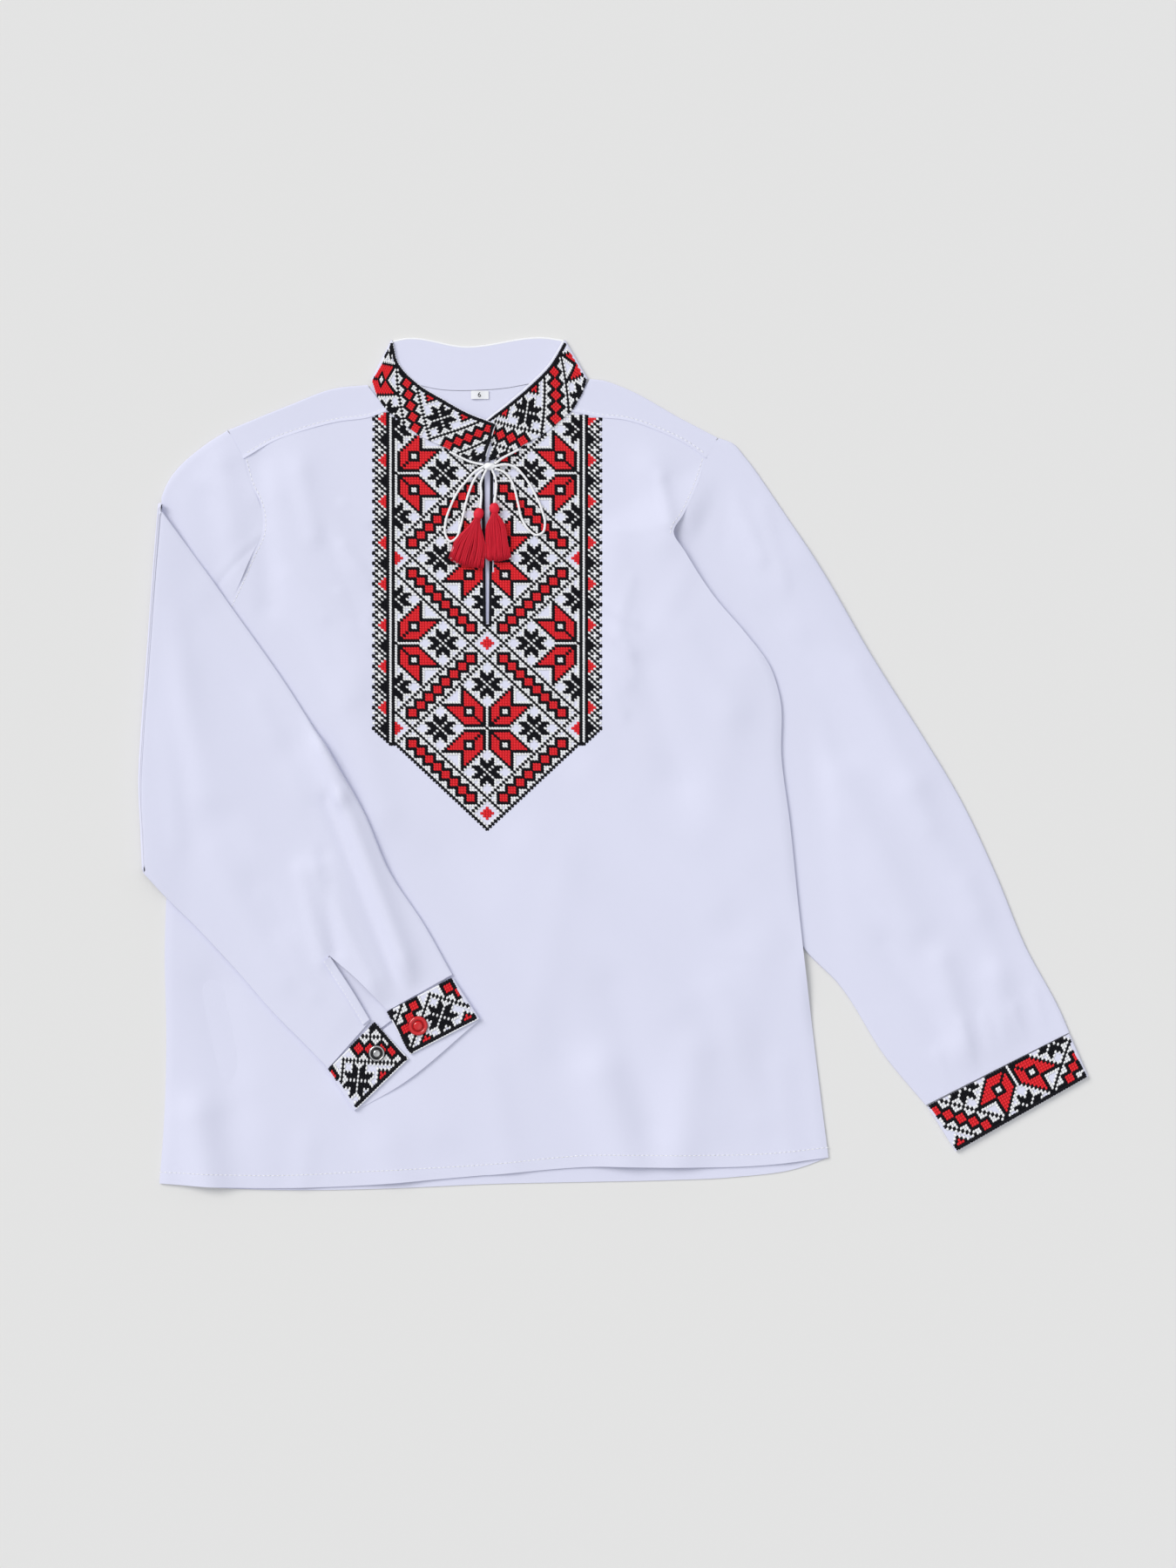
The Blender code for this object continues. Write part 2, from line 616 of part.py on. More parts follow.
def make_sleeve_right():
    """Stretched sleeve: a flattened tube from its head, which passes under the body's edge, to the cuff."""
    rows = body_stations()[-5:]
    head = np.vstack([sleeve_head(BODY_RIGHT, SHOULDER_POINT_RIGHT, rows), HEAD_HIDDEN_RIGHT])
    visible = len(rows) + 1
    seam_lift = tuck_height(head, TUCK_LIFT + FRONT_EXTRA_LIFT, TUCK_RUN + FRONT_EXTRA_RUN)
    seam_lift[visible - 2] /= 2.0
    seam_lift[visible - 1 :] = 0.0
    head = aside(head, GAP)
    stations = np.linspace(0.0, 1.0, SLEEVE_ROWS + 1)
    over = aside(curve(OVERARM_RIGHT, stations), -SHEET_EDGE)
    under = aside(curve(UNDERARM_RIGHT, stations), SHEET_EDGE)
    over[0] = head[0] + (0.3, -SHEET_EDGE)
    under[0] = head[-1]
    head[0] = over[0]
    across = np.linspace(0.0, 1.0, len(head))
    wrist = over[-1] + across[:, None] * (under[-1] - over[-1])
    plan = patch(head, wrist, over, under, across, stations)
    puff = SLEEVE_PUFF * 4.0 * across * (1.0 - across)
    bloom = smoothstep(stations * 5.0) * smoothstep((1.0 - stations) * 8.0)
    free = smoothstep((plan[..., 0] - body_edge_x(plan) - CLEAR_OF_BODY) / CLEAR_RUN)
    rise = bloom[:, None] * puff[None, :] + fold_height(plan, SLEEVE_RIGHT_FOLDS) * bloom[:, None]
    head_rise = seam_lift[None, :] * smoothstep(1.0 - stations * SLEEVE_ROWS)[:, None]
    front_layer = raised(plan, FRONT_Z + rise * free + head_rise)
    back_layer = raised(plan, BACK_Z)
    mid = tube(front_layer, back_layer, edge_outward(over, 1.0), edge_outward(under, -1.0))
    bent_wall("sleeve_right", mid[:, ::-1], CLOTH, "poplin", around=True)


def body_edge_x(plan):
    """x of the body's right edge at each point's height."""
    fine = curve(BODY_RIGHT, np.linspace(0.0, 1.0, 400))
    return np.interp(plan[..., 1], fine[:, 1], fine[:, 0])


def fold_line_x(heights):
    """x of the line that the folded sleeve turns about, inside the fold's outer edge."""
    outside = np.array(FOLD_OUTSIDE)[::-1]
    fine = curve(outside, np.linspace(0.0, 1.0, 400))
    return np.interp(heights, fine[:, 1], fine[:, 0]) + FOLD_AXIS_Z - BACK_Z + CLOTH / 2


def make_sleeve_left():
    """Folded sleeve: a flattened tube that leaves the armhole, turns about the fold line and lies on the body."""
    rows = body_stations()[-(ARMHOLE_ROWS + 1) :]
    head = aside(sleeve_head(BODY_LEFT, SHOULDER_POINT_LEFT, rows), -GAP)
    head[-1] = UNDERARM_LEFT[0]
    count = len(head)
    plain_t = np.linspace(0.0, 1.0, count)
    half_slit = PLACKET_START_WIDTH_T / 2
    slit_at = count // 2
    slit_t = np.insert(plain_t, slit_at, [0.5 - half_slit, 0.5 + half_slit])

    fold_top = FOLD_OUTSIDE[0][1] - SHEET_EDGE
    fold_bottom = FOLD_OUTSIDE[-1][1] + SHEET_EDGE

    def fold_points(t):
        heights = fold_top + (fold_bottom - fold_top) * t
        return np.stack([fold_line_x(heights), heights], axis=-1)

    def before_fold(t, cells):
        stations = np.linspace(0.0, 1.0, cells + 1)
        corners = fold_points(np.array([0.0, 1.0]))
        over = aside(curve(OVERARM_LEFT, stations), SHEET_EDGE)
        under = aside(curve(UNDERARM_LEFT, stations), -GAP)
        head_t = np.column_stack([np.interp(t, plain_t, head[:, k]) for k in range(2)])
        head_t[0] = head[0] + (-0.3, -SHEET_EDGE)
        over[0] = head_t[0]
        under[0] = head_t[-1]
        over[-1] = corners[0]
        under[-1] = corners[1]
        return patch(head_t, fold_points(t), over, under, t, stations)

    def after_fold(t_rows, wrist, stations):
        corners = fold_points(np.array([0.0, 1.0]))
        over = aside(curve(OVERARM_BACK, stations), -SHEET_EDGE)
        under = aside(curve(UNDERARM_BACK, stations), SHEET_EDGE)
        over[0] = corners[0]
        under[0] = corners[1]
        over[-1] = wrist[0, 1:]
        under[-1] = wrist[-1, 1:]
        t = t_rows[..., None]
        s = stations[:, None, None]
        wrist_points = np.stack([np.interp(t_rows, wrist[:, 0], wrist[:, k]) for k in (1, 2)], axis=-1)
        rows_part = (1.0 - s) * fold_points(t_rows) + s * wrist_points
        columns_part = (1.0 - t) * over[:, None] + t * under[:, None]
        ends = (1.0 - s) * ((1.0 - t) * corners[0] + t * corners[1])
        ends = ends + s * ((1.0 - t) * wrist[0, 1:] + t * wrist[-1, 1:])
        return rows_part + columns_part - ends

    def turned(t, height, angle):
        plan = fold_points(t)
        reach = FOLD_AXIS_Z - height
        x = plan[:, 0] - reach * math.sin(angle)
        z = np.full(len(t), FOLD_AXIS_Z - reach * math.cos(angle))
        return np.column_stack([x, plan[:, 1], z])

    after = np.linspace(0.0, 1.0, SLEEVE_ROWS - 2)
    over_end = (OVERARM_BACK[-1][0] - 0.9, OVERARM_BACK[-1][1] - 0.6)
    under_end = (UNDERARM_BACK[-1][0] + 0.9, UNDERARM_BACK[-1][1] + 0.4)
    straight = np.array([(0.0, *over_end), (1.0, *under_end)])
    split = np.array(
        [
            (0.0, *over_end),
            (PLACKET_UPPER_T, *PLACKET_UPPER),
            (PLACKET_LOWER_T, *PLACKET_LOWER),
            (1.0, *under_end),
        ]
    )
    opening = np.clip((after - PLACKET_TIP_S) / (1.0 - PLACKET_TIP_S), 0.0, 1.0)
    drift = smoothstep(after / PLACKET_TIP_S)
    centre = 0.5 + (PLACKET_TIP_T - 0.5) * drift
    upper_t = centre - half_slit + (PLACKET_UPPER_T - PLACKET_TIP_T + half_slit) * opening
    lower_t = centre + half_slit + (PLACKET_LOWER_T - PLACKET_TIP_T - half_slit) * opening
    shifted = np.array(
        [
            np.concatenate([np.linspace(0.0, a, slit_at + 1), np.linspace(b, 1.0, count - slit_at + 1)])
            for a, b in zip(upper_t, lower_t)
        ]
    )
    back_t = slit_t + (shifted - slit_t) * drift[:, None]
    front_t = np.broadcast_to(plain_t, (len(after), count))

    angles = [math.pi * step / 6 for step in range(1, 6)]
    laid_front = after_fold(front_t, straight, after)
    laid_back = after_fold(back_t, split, after)
    past_front = smoothstep((laid_front[..., 0] - fold_line_x(laid_front[..., 1])) / SAG_RUN)
    past_back = smoothstep((laid_back[..., 0] - fold_line_x(laid_back[..., 1])) / SAG_RUN)
    puff = SLEEVE_PUFF * 4.0 * back_t * (1.0 - back_t) + fold_height(laid_back, SLEEVE_LEFT_FOLDS)
    calm = smoothstep(after * 6.0) * smoothstep((1.0 - after) * 9.0)
    front_z = 2 * FOLD_AXIS_Z - FRONT_Z - SAG * past_front
    back_z = 2 * FOLD_AXIS_Z - BACK_Z - SAG * past_back + puff * calm[:, None]

    front_layer = [raised(before_fold(plain_t, 3), FRONT_Z)]
    back_layer = [raised(before_fold(slit_t, 3), BACK_Z)]
    front_layer.append(np.array([turned(plain_t, FRONT_Z, angle) for angle in angles]))
    back_layer.append(np.array([turned(slit_t, BACK_Z, angle) for angle in angles]))
    front_layer.append(raised(laid_front, front_z))
    back_layer.append(raised(laid_back, back_z))
    front_layer = np.concatenate(front_layer)
    back_layer = np.concatenate(back_layer)

    before = len(angles) + 4
    up = np.tile((0.0, 1.0, 0.0), (before, 1))
    out_over = np.vstack([up, edge_outward(laid_front[:, 0], 1.0)])
    out_under = np.vstack([-up, edge_outward(laid_front[:, -1], -1.0)])
    mid = tube(front_layer, back_layer, out_over, out_under)
    keep = np.ones((mid.shape[0] - 1, mid.shape[1]), bool)
    slit_cell = count + 1 + (len(slit_t) - 2 - slit_at)
    opened = np.flatnonzero(after >= PLACKET_TIP_S)[0] + before
    keep[opened:, slit_cell] = False
    bent_wall("sleeve_left", mid, CLOTH, "poplin", keep, around=True)


def make_placket():
    """Binding strip on the lower edge of the wrist slit, laid on the sleeve."""
    cells = 6
    left = spread(BINDING_LEFT, cells)
    right = spread(BINDING_RIGHT, cells)
    plan = np.stack([left, right], axis=1)
    underside = LAID_Z + LAYER + CLOTH / 2 + GAP + fold_height(plan, SLEEVE_LEFT_FOLDS) + SLEEVE_PUFF
    flat_wall("placket_left", plan[::-1], underside[::-1], CLOTH, "poplin")


def band_part(table, height, cells):
    """Rows of a cuff or collar stretch: from its seam edge to its free edge, at one height."""
    table = np.array(table)
    seam = spread(table[:, :2], cells)
    free = spread(table[:, 2:], cells)
    return seam, free, np.full(len(seam), height)


def band(seam, free, heights, rows):
    """Grid between a seam edge and a free edge, one line for each station along the band."""
    share = np.linspace(0.0, 1.0, rows + 1)[None, :, None]
    low = raised(seam, heights)[:, None]
    high = raised(free, heights)[:, None]
    return low + (high - low) * share


def make_band(name, parts, rows, finish, closed=False):
    """Stiff band of flat stretches joined by hairpin turns."""
    grids = [band(*part, rows) for part in parts]
    lines = []
    count = len(grids)
    for index, grid in enumerate(grids):
        lines.extend(grid)
        if index == count - 1 and not closed:
            break
        following = grids[(index + 1) % count]
        leaving = grid[-1] - grid[-2]
        leaving[:, 2] = 0.0
        leaving /= np.linalg.norm(leaving, axis=1)[:, None]
        lines.extend(hairpin(grid[-1], following[0], leaving, 2))
    mid = np.array(lines).transpose(1, 0, 2)
    return bent_wall(name, mid, STIFF, finish, around=closed)


def make_collar():
    """Stand collar: its back half flat, its front halves folded over it, the left end over the right one."""
    yoke_cells = 2
    low_z = STIFF / 2
    over_z = low_z + STIFF + GAP
    left_seam = joined(spread(NECK_FRONT_LEFT, NECK_CELLS)[::-1], spread(NECK_YOKE_LEFT, yoke_cells))
    right_seam = joined(spread(NECK_FRONT_RIGHT, NECK_CELLS), spread(NECK_YOKE_RIGHT, yoke_cells))
    right_seam = np.vstack([COLLAR_END_RIGHT, right_seam])[::-1]
    back_seam = spread(NECK_BACK, NECK_CELLS)
    left_free = spread(COLLAR_TOP_LEFT, len(left_seam) - 1)
    right_free = spread(COLLAR_TOP_RIGHT, len(right_seam) - 1)[::-1]
    back_free = spread(COLLAR_TOP_BACK, NECK_CELLS)
    crossing = np.clip(np.arange(len(left_seam)) / 3.0 - 0.34, 0.0, 1.0)
    left_z = over_z + (STIFF + GAP) * (1.0 - smoothstep(crossing))
    parts = [
        (left_seam, left_free, left_z),
        (back_seam, back_free, np.full(len(back_seam), low_z)),
        (right_seam, right_free, np.full(len(right_seam), over_z)),
    ]
    make_band("collar", parts, COLLAR_ROWS, "stitched band")


def pulled_in(table, first, last):
    """Band table with its first or last station drawn in along the band to leave room for the turn."""
    rows = np.array(table)
    if first:
        step = (rows[1] - rows[0]) / np.linalg.norm((rows[1] - rows[0])[:2])
        rows[0] += step * STIFF_EDGE
    if last:
        step = (rows[-2] - rows[-1]) / np.linalg.norm((rows[-2] - rows[-1])[:2])
        rows[-1] += step * STIFF_EDGE
    return rows


def make_cuffs():
    """Closed cuff of the stretched sleeve, and open cuff of the folded one with its two flaps turned up."""
    shut = pulled_in(CUFF_RIGHT, True, True)
    low_z = STIFF / 2
    high_z = low_z + STIFF + GAP
    parts = [band_part(shut, high_z, CUFF_CELLS + 3), band_part(shut[::-1], low_z, CUFF_CELLS + 3)]
    make_band("cuff_right", parts, CUFF_ROWS, "stitched band", closed=True)
    under_z = FRONT_Z + CLOTH / 2 + GAP + STIFF / 2
    flap_z = under_z + STIFF + GAP
    upper = pulled_in(CUFF_LEFT_UPPER, False, True)
    under = pulled_in(CUFF_LEFT_BACK, True, True)
    lower = pulled_in(CUFF_LEFT_LOWER, True, False)
    parts = [
        band_part(upper, flap_z, CUFF_CELLS),
        band_part(under, under_z, CUFF_CELLS + 3),
        band_part(lower, flap_z, CUFF_CELLS),
    ]
    make_band("cuff_left", parts, CUFF_ROWS, "stitched band")


def make_label():
    """Small size label sewn in at the back neck seam."""
    plan = np.array(
        [
            [(LABEL["x0"], LABEL["y0"]), (LABEL["x1"], LABEL["y0"])],
            [(LABEL["x0"], LABEL["y1"]), (LABEL["x1"], LABEL["y1"])],
        ]
    )
    flat_wall("neck_label", plan, LAYER, CLOTH, "label tape")


def make_turned(name, centre, base, profile, sides, finish):
    """Solid turned from rows of radius and height."""
    angles = 2.0 * math.pi * np.arange(sides) / sides
    ring = np.column_stack([np.cos(angles), np.sin(angles), np.zeros(sides)])
    points = [np.array([[0.0, 0.0, profile[0][1]]])]
    for radius, height in profile:
        points.append(ring * radius + (0.0, 0.0, height))
    points.append(np.array([[0.0, 0.0, profile[-1][1]]]))
    points = np.vstack(points) + (*centre, base)
    faces = []
    top = len(points) - 1
    last = 1 + (len(profile) - 1) * sides
    for k in range(sides):
        after = (k + 1) % sides
        faces.append((0, 1 + after, 1 + k))
        for level in range(len(profile) - 1):
            a = 1 + level * sides
            faces.append((a + k, a + after, a + sides + after, a + sides + k))
        faces.append((last + k, last + after, top))
    return add_object(name, points, faces, finish)


def make_snaps():
    """Press-stud cap on the upper flap and socket on the lower one."""
    surface = FRONT_Z + CLOTH / 2 + GAP + 2 * STIFF + GAP
    make_turned("snap_cap", SNAP_CAP_AT, surface + GAP, SNAP_CAP, SNAP_SIDES, "red lacquer")
    make_turned("snap_socket", SNAP_SOCKET_AT, surface + GAP, SNAP_SOCKET, SNAP_SIDES, "nickel")


def make_knot():
    """Tie's knot: a flattened ball turned about its long axis."""
    sides, levels = 12, 6
    latitudes = math.pi * (np.arange(levels) + 0.5) / levels
    rows = [(-math.cos(a), math.sin(a)) for a in latitudes]
    angles = 2.0 * math.pi * np.arange(sides) / sides
    half = np.array([KNOT["half_x"], KNOT["half_y"], KNOT["half_z"]])
    rings = [np.column_stack([np.full(sides, x), r * np.cos(angles), r * np.sin(angles)]) for x, r in rows]
    points = np.vstack([[(-1.0, 0.0, 0.0)], *rings, [(1.0, 0.0, 0.0)]]) * half
    points += (KNOT["x"], KNOT["y"], KNOT["z"])
    faces = []
    end = len(points) - 1
    last = 1 + (levels - 1) * sides
    for k in range(sides):
        after = (k + 1) % sides
        faces.append((0, 1 + after, 1 + k))
        for level in range(levels - 1):
            a = 1 + level * sides
            faces.append((a + k, a + after, a + sides + after, a + sides + k))
        faces.append((last + k, last + after, end))
    add_object("tie_knot", points, faces, "cotton cord")


def make_cord(name, route):
    """Round cord along a smooth curve through its route's points."""
    rows = np.array(route)
    length = np.linalg.norm(np.diff(rows, axis=0), axis=1).sum()
    count = max(4, int(round(length / CORD_STEP)) + 1)
    points = curve(route, np.linspace(0.0, 1.0, count))
    data = bpy.data.curves.new(name, "CURVE")
    data.dimensions = "3D"
    data.bevel_depth = CORD / 2 * MM
    data.bevel_resolution = 2
    data.use_fill_caps = True
    spline = data.splines.new("POLY")
    spline.points.add(len(points) - 1)
    for place, (x, y, z) in zip(spline.points, points):
        place.co = ((x - DATUM_X) * MM, (y - DATUM_Y) * MM, z * MM, 1.0)
    data.materials.append(finish_of("cotton cord"))
    obj = bpy.data.objects.new(name, data)
    bpy.context.scene.collection.objects.link(obj)
    return obj


def make_tassel(name, size):
    """Tassel lying flat: a rounded head whose lower face is a grid, and a strand drawn out of each cell of it."""
    top = np.array(size["top"])
    end = np.array(size["end"])
    length = np.linalg.norm(end - top)
    down = (end - top) / length
    side = np.array([down[1], -down[0]])
    columns, layers = STRANDS_ACROSS, STRANDS_DEEP
    grid = {}
    points = []

    def place(along, across, height):
        flat = top + down * along + side * across
        points.append((flat[0], flat[1], TASSEL_Z + height))
        return len(points) - 1

    def rim_key():
        keys = [(i, 0) for i in range(columns)]
        keys += [(columns, j) for j in range(layers)]
        keys += [(i, layers) for i in range(columns, 0, -1)]
        keys += [(0, j) for j in range(layers, 0, -1)]
        return keys

    def cell_corner(i, j):
        """Grid corner drawn onto a disc, so the rim is round."""
        a = 2.0 * i / columns - 1.0
        b = 2.0 * j / layers - 1.0
        return a * math.sqrt(1.0 - b * b / 2.0), b * math.sqrt(1.0 - a * a / 2.0)

    for i in range(columns + 1):
        for j in range(layers + 1):
            a, b = cell_corner(i, j)
            grid[i, j] = place(size["head"], a * TASSEL_HALF_WIDTH, b * TASSEL_HALF_HEIGHT)
    # Head rings from its face back to its top: share of the head's length, share of its half width
    head_rings = ((0.86, 1.0), (0.74, 0.74), (0.66, 0.72), (0.50, 0.98), (0.26, 0.92), (0.08, 0.6))
    keys = rim_key()
    rings = [[grid[key] for key in keys]]
    for along, share in head_rings:
        ring = []
        for key in keys:
            a, b = cell_corner(*key)
            ring.append(place(size["head"] * along, a * TASSEL_HALF_WIDTH * share, b * TASSEL_HALF_HEIGHT * share))
        rings.append(ring)
    crown = place(0.0, 0.0, 0.0)
    faces = []
    count = len(keys)
    for lower, higher in zip(rings, rings[1:]):
        for k in range(count):
            after = (k + 1) % count
            faces.append((lower[k], lower[after], higher[after], higher[k]))
    for k in range(count):
        faces.append((rings[-1][k], rings[-1][(k + 1) % count], crown))
    for i in range(columns):
        for j in range(layers):
            corners = [(i, j), (i, j + 1), (i + 1, j + 1), (i + 1, j)]
            ring = [grid[key] for key in corners]
            centre_a = np.mean([cell_corner(*key)[0] for key in corners])
            centre_b = np.mean([cell_corner(*key)[1] for key in corners])
            reach = length - size["head"]
            wander = 0.5 * math.sin(2.3 * i + 1.7 * j)
            shorten = 1.0 - 0.06 * (0.5 + 0.5 * math.sin(3.1 * i + 2.1 * j)) - 0.05 * centre_a * centre_a
            # Strand sections: share of its reach, fan across, height share, scale of its section
            sections = ((0.0, 0.0, 1.0, STRAND_FILL), (0.3, 0.55, 0.92, 0.9), (1.0, 1.0, 0.62, 0.75))
            for along_share, fan, height_share, scale in sections:
                spine_across = centre_a * (
                    TASSEL_HALF_WIDTH * (1.0 - fan) + size["skirt"] / 2 * fan * (0.45 + 0.55 * along_share)
                )
                spine_height = centre_b * TASSEL_HALF_HEIGHT * height_share
                grown = []
                for key in corners:
                    a, b = cell_corner(*key)
                    da = (a - centre_a) * TASSEL_HALF_WIDTH * scale
                    db = (b - centre_b) * TASSEL_HALF_HEIGHT * scale * height_share
                    along = size["head"] + reach * along_share * shorten
                    grown.append(place(along, spine_across + da + wander * along_share * 0.4, spine_height + db))
                for k in range(4):
                    after = (k + 1) % 4
                    faces.append((ring[k], ring[after], grown[after], grown[k]))
                ring = grown
            faces.append(tuple(ring))
    add_object(name, points, faces, "tassel thread")


def main():
    for obj in list(bpy.data.objects):
        bpy.data.objects.remove(obj)
    make_back()
    make_front()
    make_yoke("yoke_left", YOKE_FRONT_LEFT, SHOULDER_LEFT, YOKE_BACK_LEFT, -1)
    make_yoke("yoke_right", YOKE_FRONT_RIGHT, SHOULDER_RIGHT, YOKE_BACK_RIGHT, 1)
    make_sleeve_right()
    make_sleeve_left()
    make_placket()
    make_collar()
    make_cuffs()
    make_label()
    make_snaps()
    make_knot()
    make_cord("tie_feed_left", FEED_LEFT)
    make_cord("tie_feed_right", FEED_RIGHT)
    make_cord("tie_loop_left", LOOP_LEFT)
    make_cord("tie_loop_right", LOOP_RIGHT)
    make_cord("tie_tail_left", TAIL_LEFT)
    make_cord("tie_tail_right", TAIL_RIGHT)
    make_tassel("tassel_left", TASSEL_LEFT)
    make_tassel("tassel_right", TASSEL_RIGHT)


main()
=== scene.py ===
"""Looks of a child's embroidered shirt laid flat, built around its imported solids."""

import math

import bpy
import numpy as np
from bpy.props import FloatProperty, FloatVectorProperty, PointerProperty
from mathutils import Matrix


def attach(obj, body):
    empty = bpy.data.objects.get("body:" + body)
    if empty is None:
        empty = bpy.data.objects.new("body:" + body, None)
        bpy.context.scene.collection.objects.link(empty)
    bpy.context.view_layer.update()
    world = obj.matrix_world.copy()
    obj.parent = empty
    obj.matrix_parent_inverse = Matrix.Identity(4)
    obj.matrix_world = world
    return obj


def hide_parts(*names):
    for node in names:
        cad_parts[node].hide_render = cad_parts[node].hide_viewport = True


bl_info = {
    "name": "Laid-out folk shirt",
    "version": (1, 0, 0),
    "blender": (4, 5, 0),
    "location": "3D View > Sidebar > Folk shirt",
    "description": "Cloth, cross-stitch, trim and tie of a shirt laid flat",
    "category": "Object",
}

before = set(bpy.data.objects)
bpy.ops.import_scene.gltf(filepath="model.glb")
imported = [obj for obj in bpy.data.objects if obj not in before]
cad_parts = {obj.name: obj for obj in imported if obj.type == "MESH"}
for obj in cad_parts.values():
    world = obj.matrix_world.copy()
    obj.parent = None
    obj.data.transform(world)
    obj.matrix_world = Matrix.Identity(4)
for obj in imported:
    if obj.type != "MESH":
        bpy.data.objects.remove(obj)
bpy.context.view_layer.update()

MM = 0.001
DATUM = np.array([-0.02, -0.28, 0.0])

# Heights of the cloth's middle, in millimetres, as in the solids
CLOTH = 1.0
STIFF = 1.4
GAP = 0.3
LAYER = CLOTH + GAP
SHEET_EDGE = (LAYER + CLOTH) / 2
STIFF_EDGE = STIFF + GAP / 2
BACK_Z = CLOTH / 2
FRONT_Z = BACK_Z + LAYER
LAID_Z = FRONT_Z + LAYER
FOLD_AXIS_Z = 3.4
SAG = 2 * FOLD_AXIS_Z - FRONT_Z - LAID_Z
SAG_RUN = 30.0
SLEEVE_PUFF = 0.9
SEAM_LAP = 0.5
FOLD_GAIN = 1.5
SIDE_GAP = 0.65
SIDE_ROLL = 6.0
SIDE_TOP_Y = 84.0
SIDE_EASE = 20.0
FOLD_END_STRETCH = 1.2

SLIT_X = -82.3
SLIT_TOP_Y = 200.0
SLIT_TOP_WIDTH = 3.8
SLIT_END_WIDTH = 1.8
UNDERARM_V = 0.773
BODY_LOW_ROWS = 18
ARMHOLE_ROWS = 8
SHOULDER_CELLS = 6
NECK_CELLS = 6
TUCK_LIFT = 2.7
TUCK_RUN = 45.0
TUCK_EASE = 12.0
CLEAR_OF_BODY = 18.0
CLEAR_RUN = 16.0
FRONT_EXTRA_LIFT = 0.5
FRONT_EXTRA_RUN = 15.0

# Stretches that an edge is cut into before its points are read off
FINE_STEPS = 399

# How many times finer than the solids each piece is cut
FINE_BODY = 7
FINE_BACK = 5
FINE_SLEEVE = 6
FINE_BAND = 6
FINE_FOLDED = 5

# Rows and half-turn steps of the tubes and bands, and cells of the back panel's top edge beside the neck
TUBE_TURN = 3
BAND_TURN = 5
SLEEVE_RIGHT_ROWS = 141
CAP_ROWS = 19
FOLD_TURNS = 11
AFTER_FOLD_ROWS = 121
YOKE_ROWS = 25
BAND_ROWS = 10
BACK_CELLS = (3, 7)
BACK_SIDE_SHARE = 0.97
CORNER_EASE = 0.3

# Body edges from hem to shoulder point, side seam and then armhole: x, y
BODY_LEFT = [
    (-297, -275), (-294, -236), (-292.5, -179), (-293.5, -122), (-292.5, -88), (-289.5, -42), (-285.5, 3.5),
    (-278.5, 38), (-268, 69), (-257.5, 92), (-246, 114.5), (-236, 137.5), (-230, 150.5), (-229.5, 161.5),
    (-231.5, 170.5), (-237.5, 183), (-242, 200),
]
BODY_RIGHT = [
    (141, -258), (138.5, -239), (134.5, -207.5), (124.5, -122.5), (120.5, -87), (115.5, -38.5), (110, 4.5),
    (109, 43), (102.5, 63.5), (87.5, 84), (65.5, 110), (47, 138.5), (39.5, 152), (45.5, 162), (54.5, 181),
    (61, 200),
]
SHOULDER_POINT_LEFT = (-252.0, 218.5)
SHOULDER_POINT_RIGHT = (68.5, 213.5)
FRONT_HEM = [
    (-297, -275), (-266.5, -277), (-233, -278), (-179, -277), (-82, -269.5), (-12.5, -264), (34.5, -264.5),
    (100, -263), (141, -258),
]
BACK_HEM = [
    (-297, -275), (-266.5, -277.5), (-237, -279), (-150, -278.5), (-82, -275.5), (-12.5, -274), (34.5, -273),
    (78, -271), (121.5, -265), (141, -258),
]
YOKE_FRONT_LEFT = [(-242, 200), (-221, 212), (-207, 217), (-181, 224), (-158, 227.5), (-148, 231.5)]
YOKE_FRONT_RIGHT = [(-27, 231), (-9, 227), (6.5, 225.5), (31, 217.5), (48.5, 209), (61, 200)]
SHOULDER_LEFT = [(-252, 218.5), (-214, 234), (-181, 246), (-160.5, 248)]
SHOULDER_RIGHT = [(-15.5, 252), (-6.5, 251), (6.5, 246.5), (45.5, 225.5), (68.5, 213.5)]
YOKE_BACK_LEFT = [(-248.5, 212), (-214, 228.5), (-181, 241), (-160, 244.5)]
YOKE_BACK_RIGHT = [(-16.5, 247.5), (-6.5, 246.8), (6.5, 242.5), (45.5, 219.5), (65.5, 208.1)]
NECK_FRONT_LEFT = [(-148, 231.5), (-127, 215), (-112.5, 208), (-91.5, 198.5), (-84.2, 197.4)]
NECK_FRONT_RIGHT = [(-80.4, 198.5), (-72.5, 201.5), (-55, 210.5), (-42.5, 218), (-27, 231)]
NECK_YOKE_LEFT = [(-148, 231.5), (-154, 240), (-157.6, 250.3)]
NECK_YOKE_RIGHT = [(-27, 231), (-19.2, 246), (-17.9, 251.6)]
NECK_BACK = [
    (-157.6, 250.3), (-131, 248.5), (-113, 245), (-90.5, 244.5), (-70, 246), (-53, 249), (-17.9, 251.6),
]
COLLAR_TOP_LEFT = [(-77, 222), (-97, 230), (-111, 238), (-128, 248.5), (-141.2, 263), (-144.6, 276.3)]
COLLAR_TOP_BACK = [(-144.6, 276.3), (-138, 278), (-97, 273), (-41.5, 278.5), (-32.4, 276.9)]
COLLAR_TOP_RIGHT = [(-83.5, 224.3), (-70, 235), (-55, 248), (-41.5, 262), (-32.4, 276.9)]
COLLAR_END_RIGHT = (-84.0, 197.5)

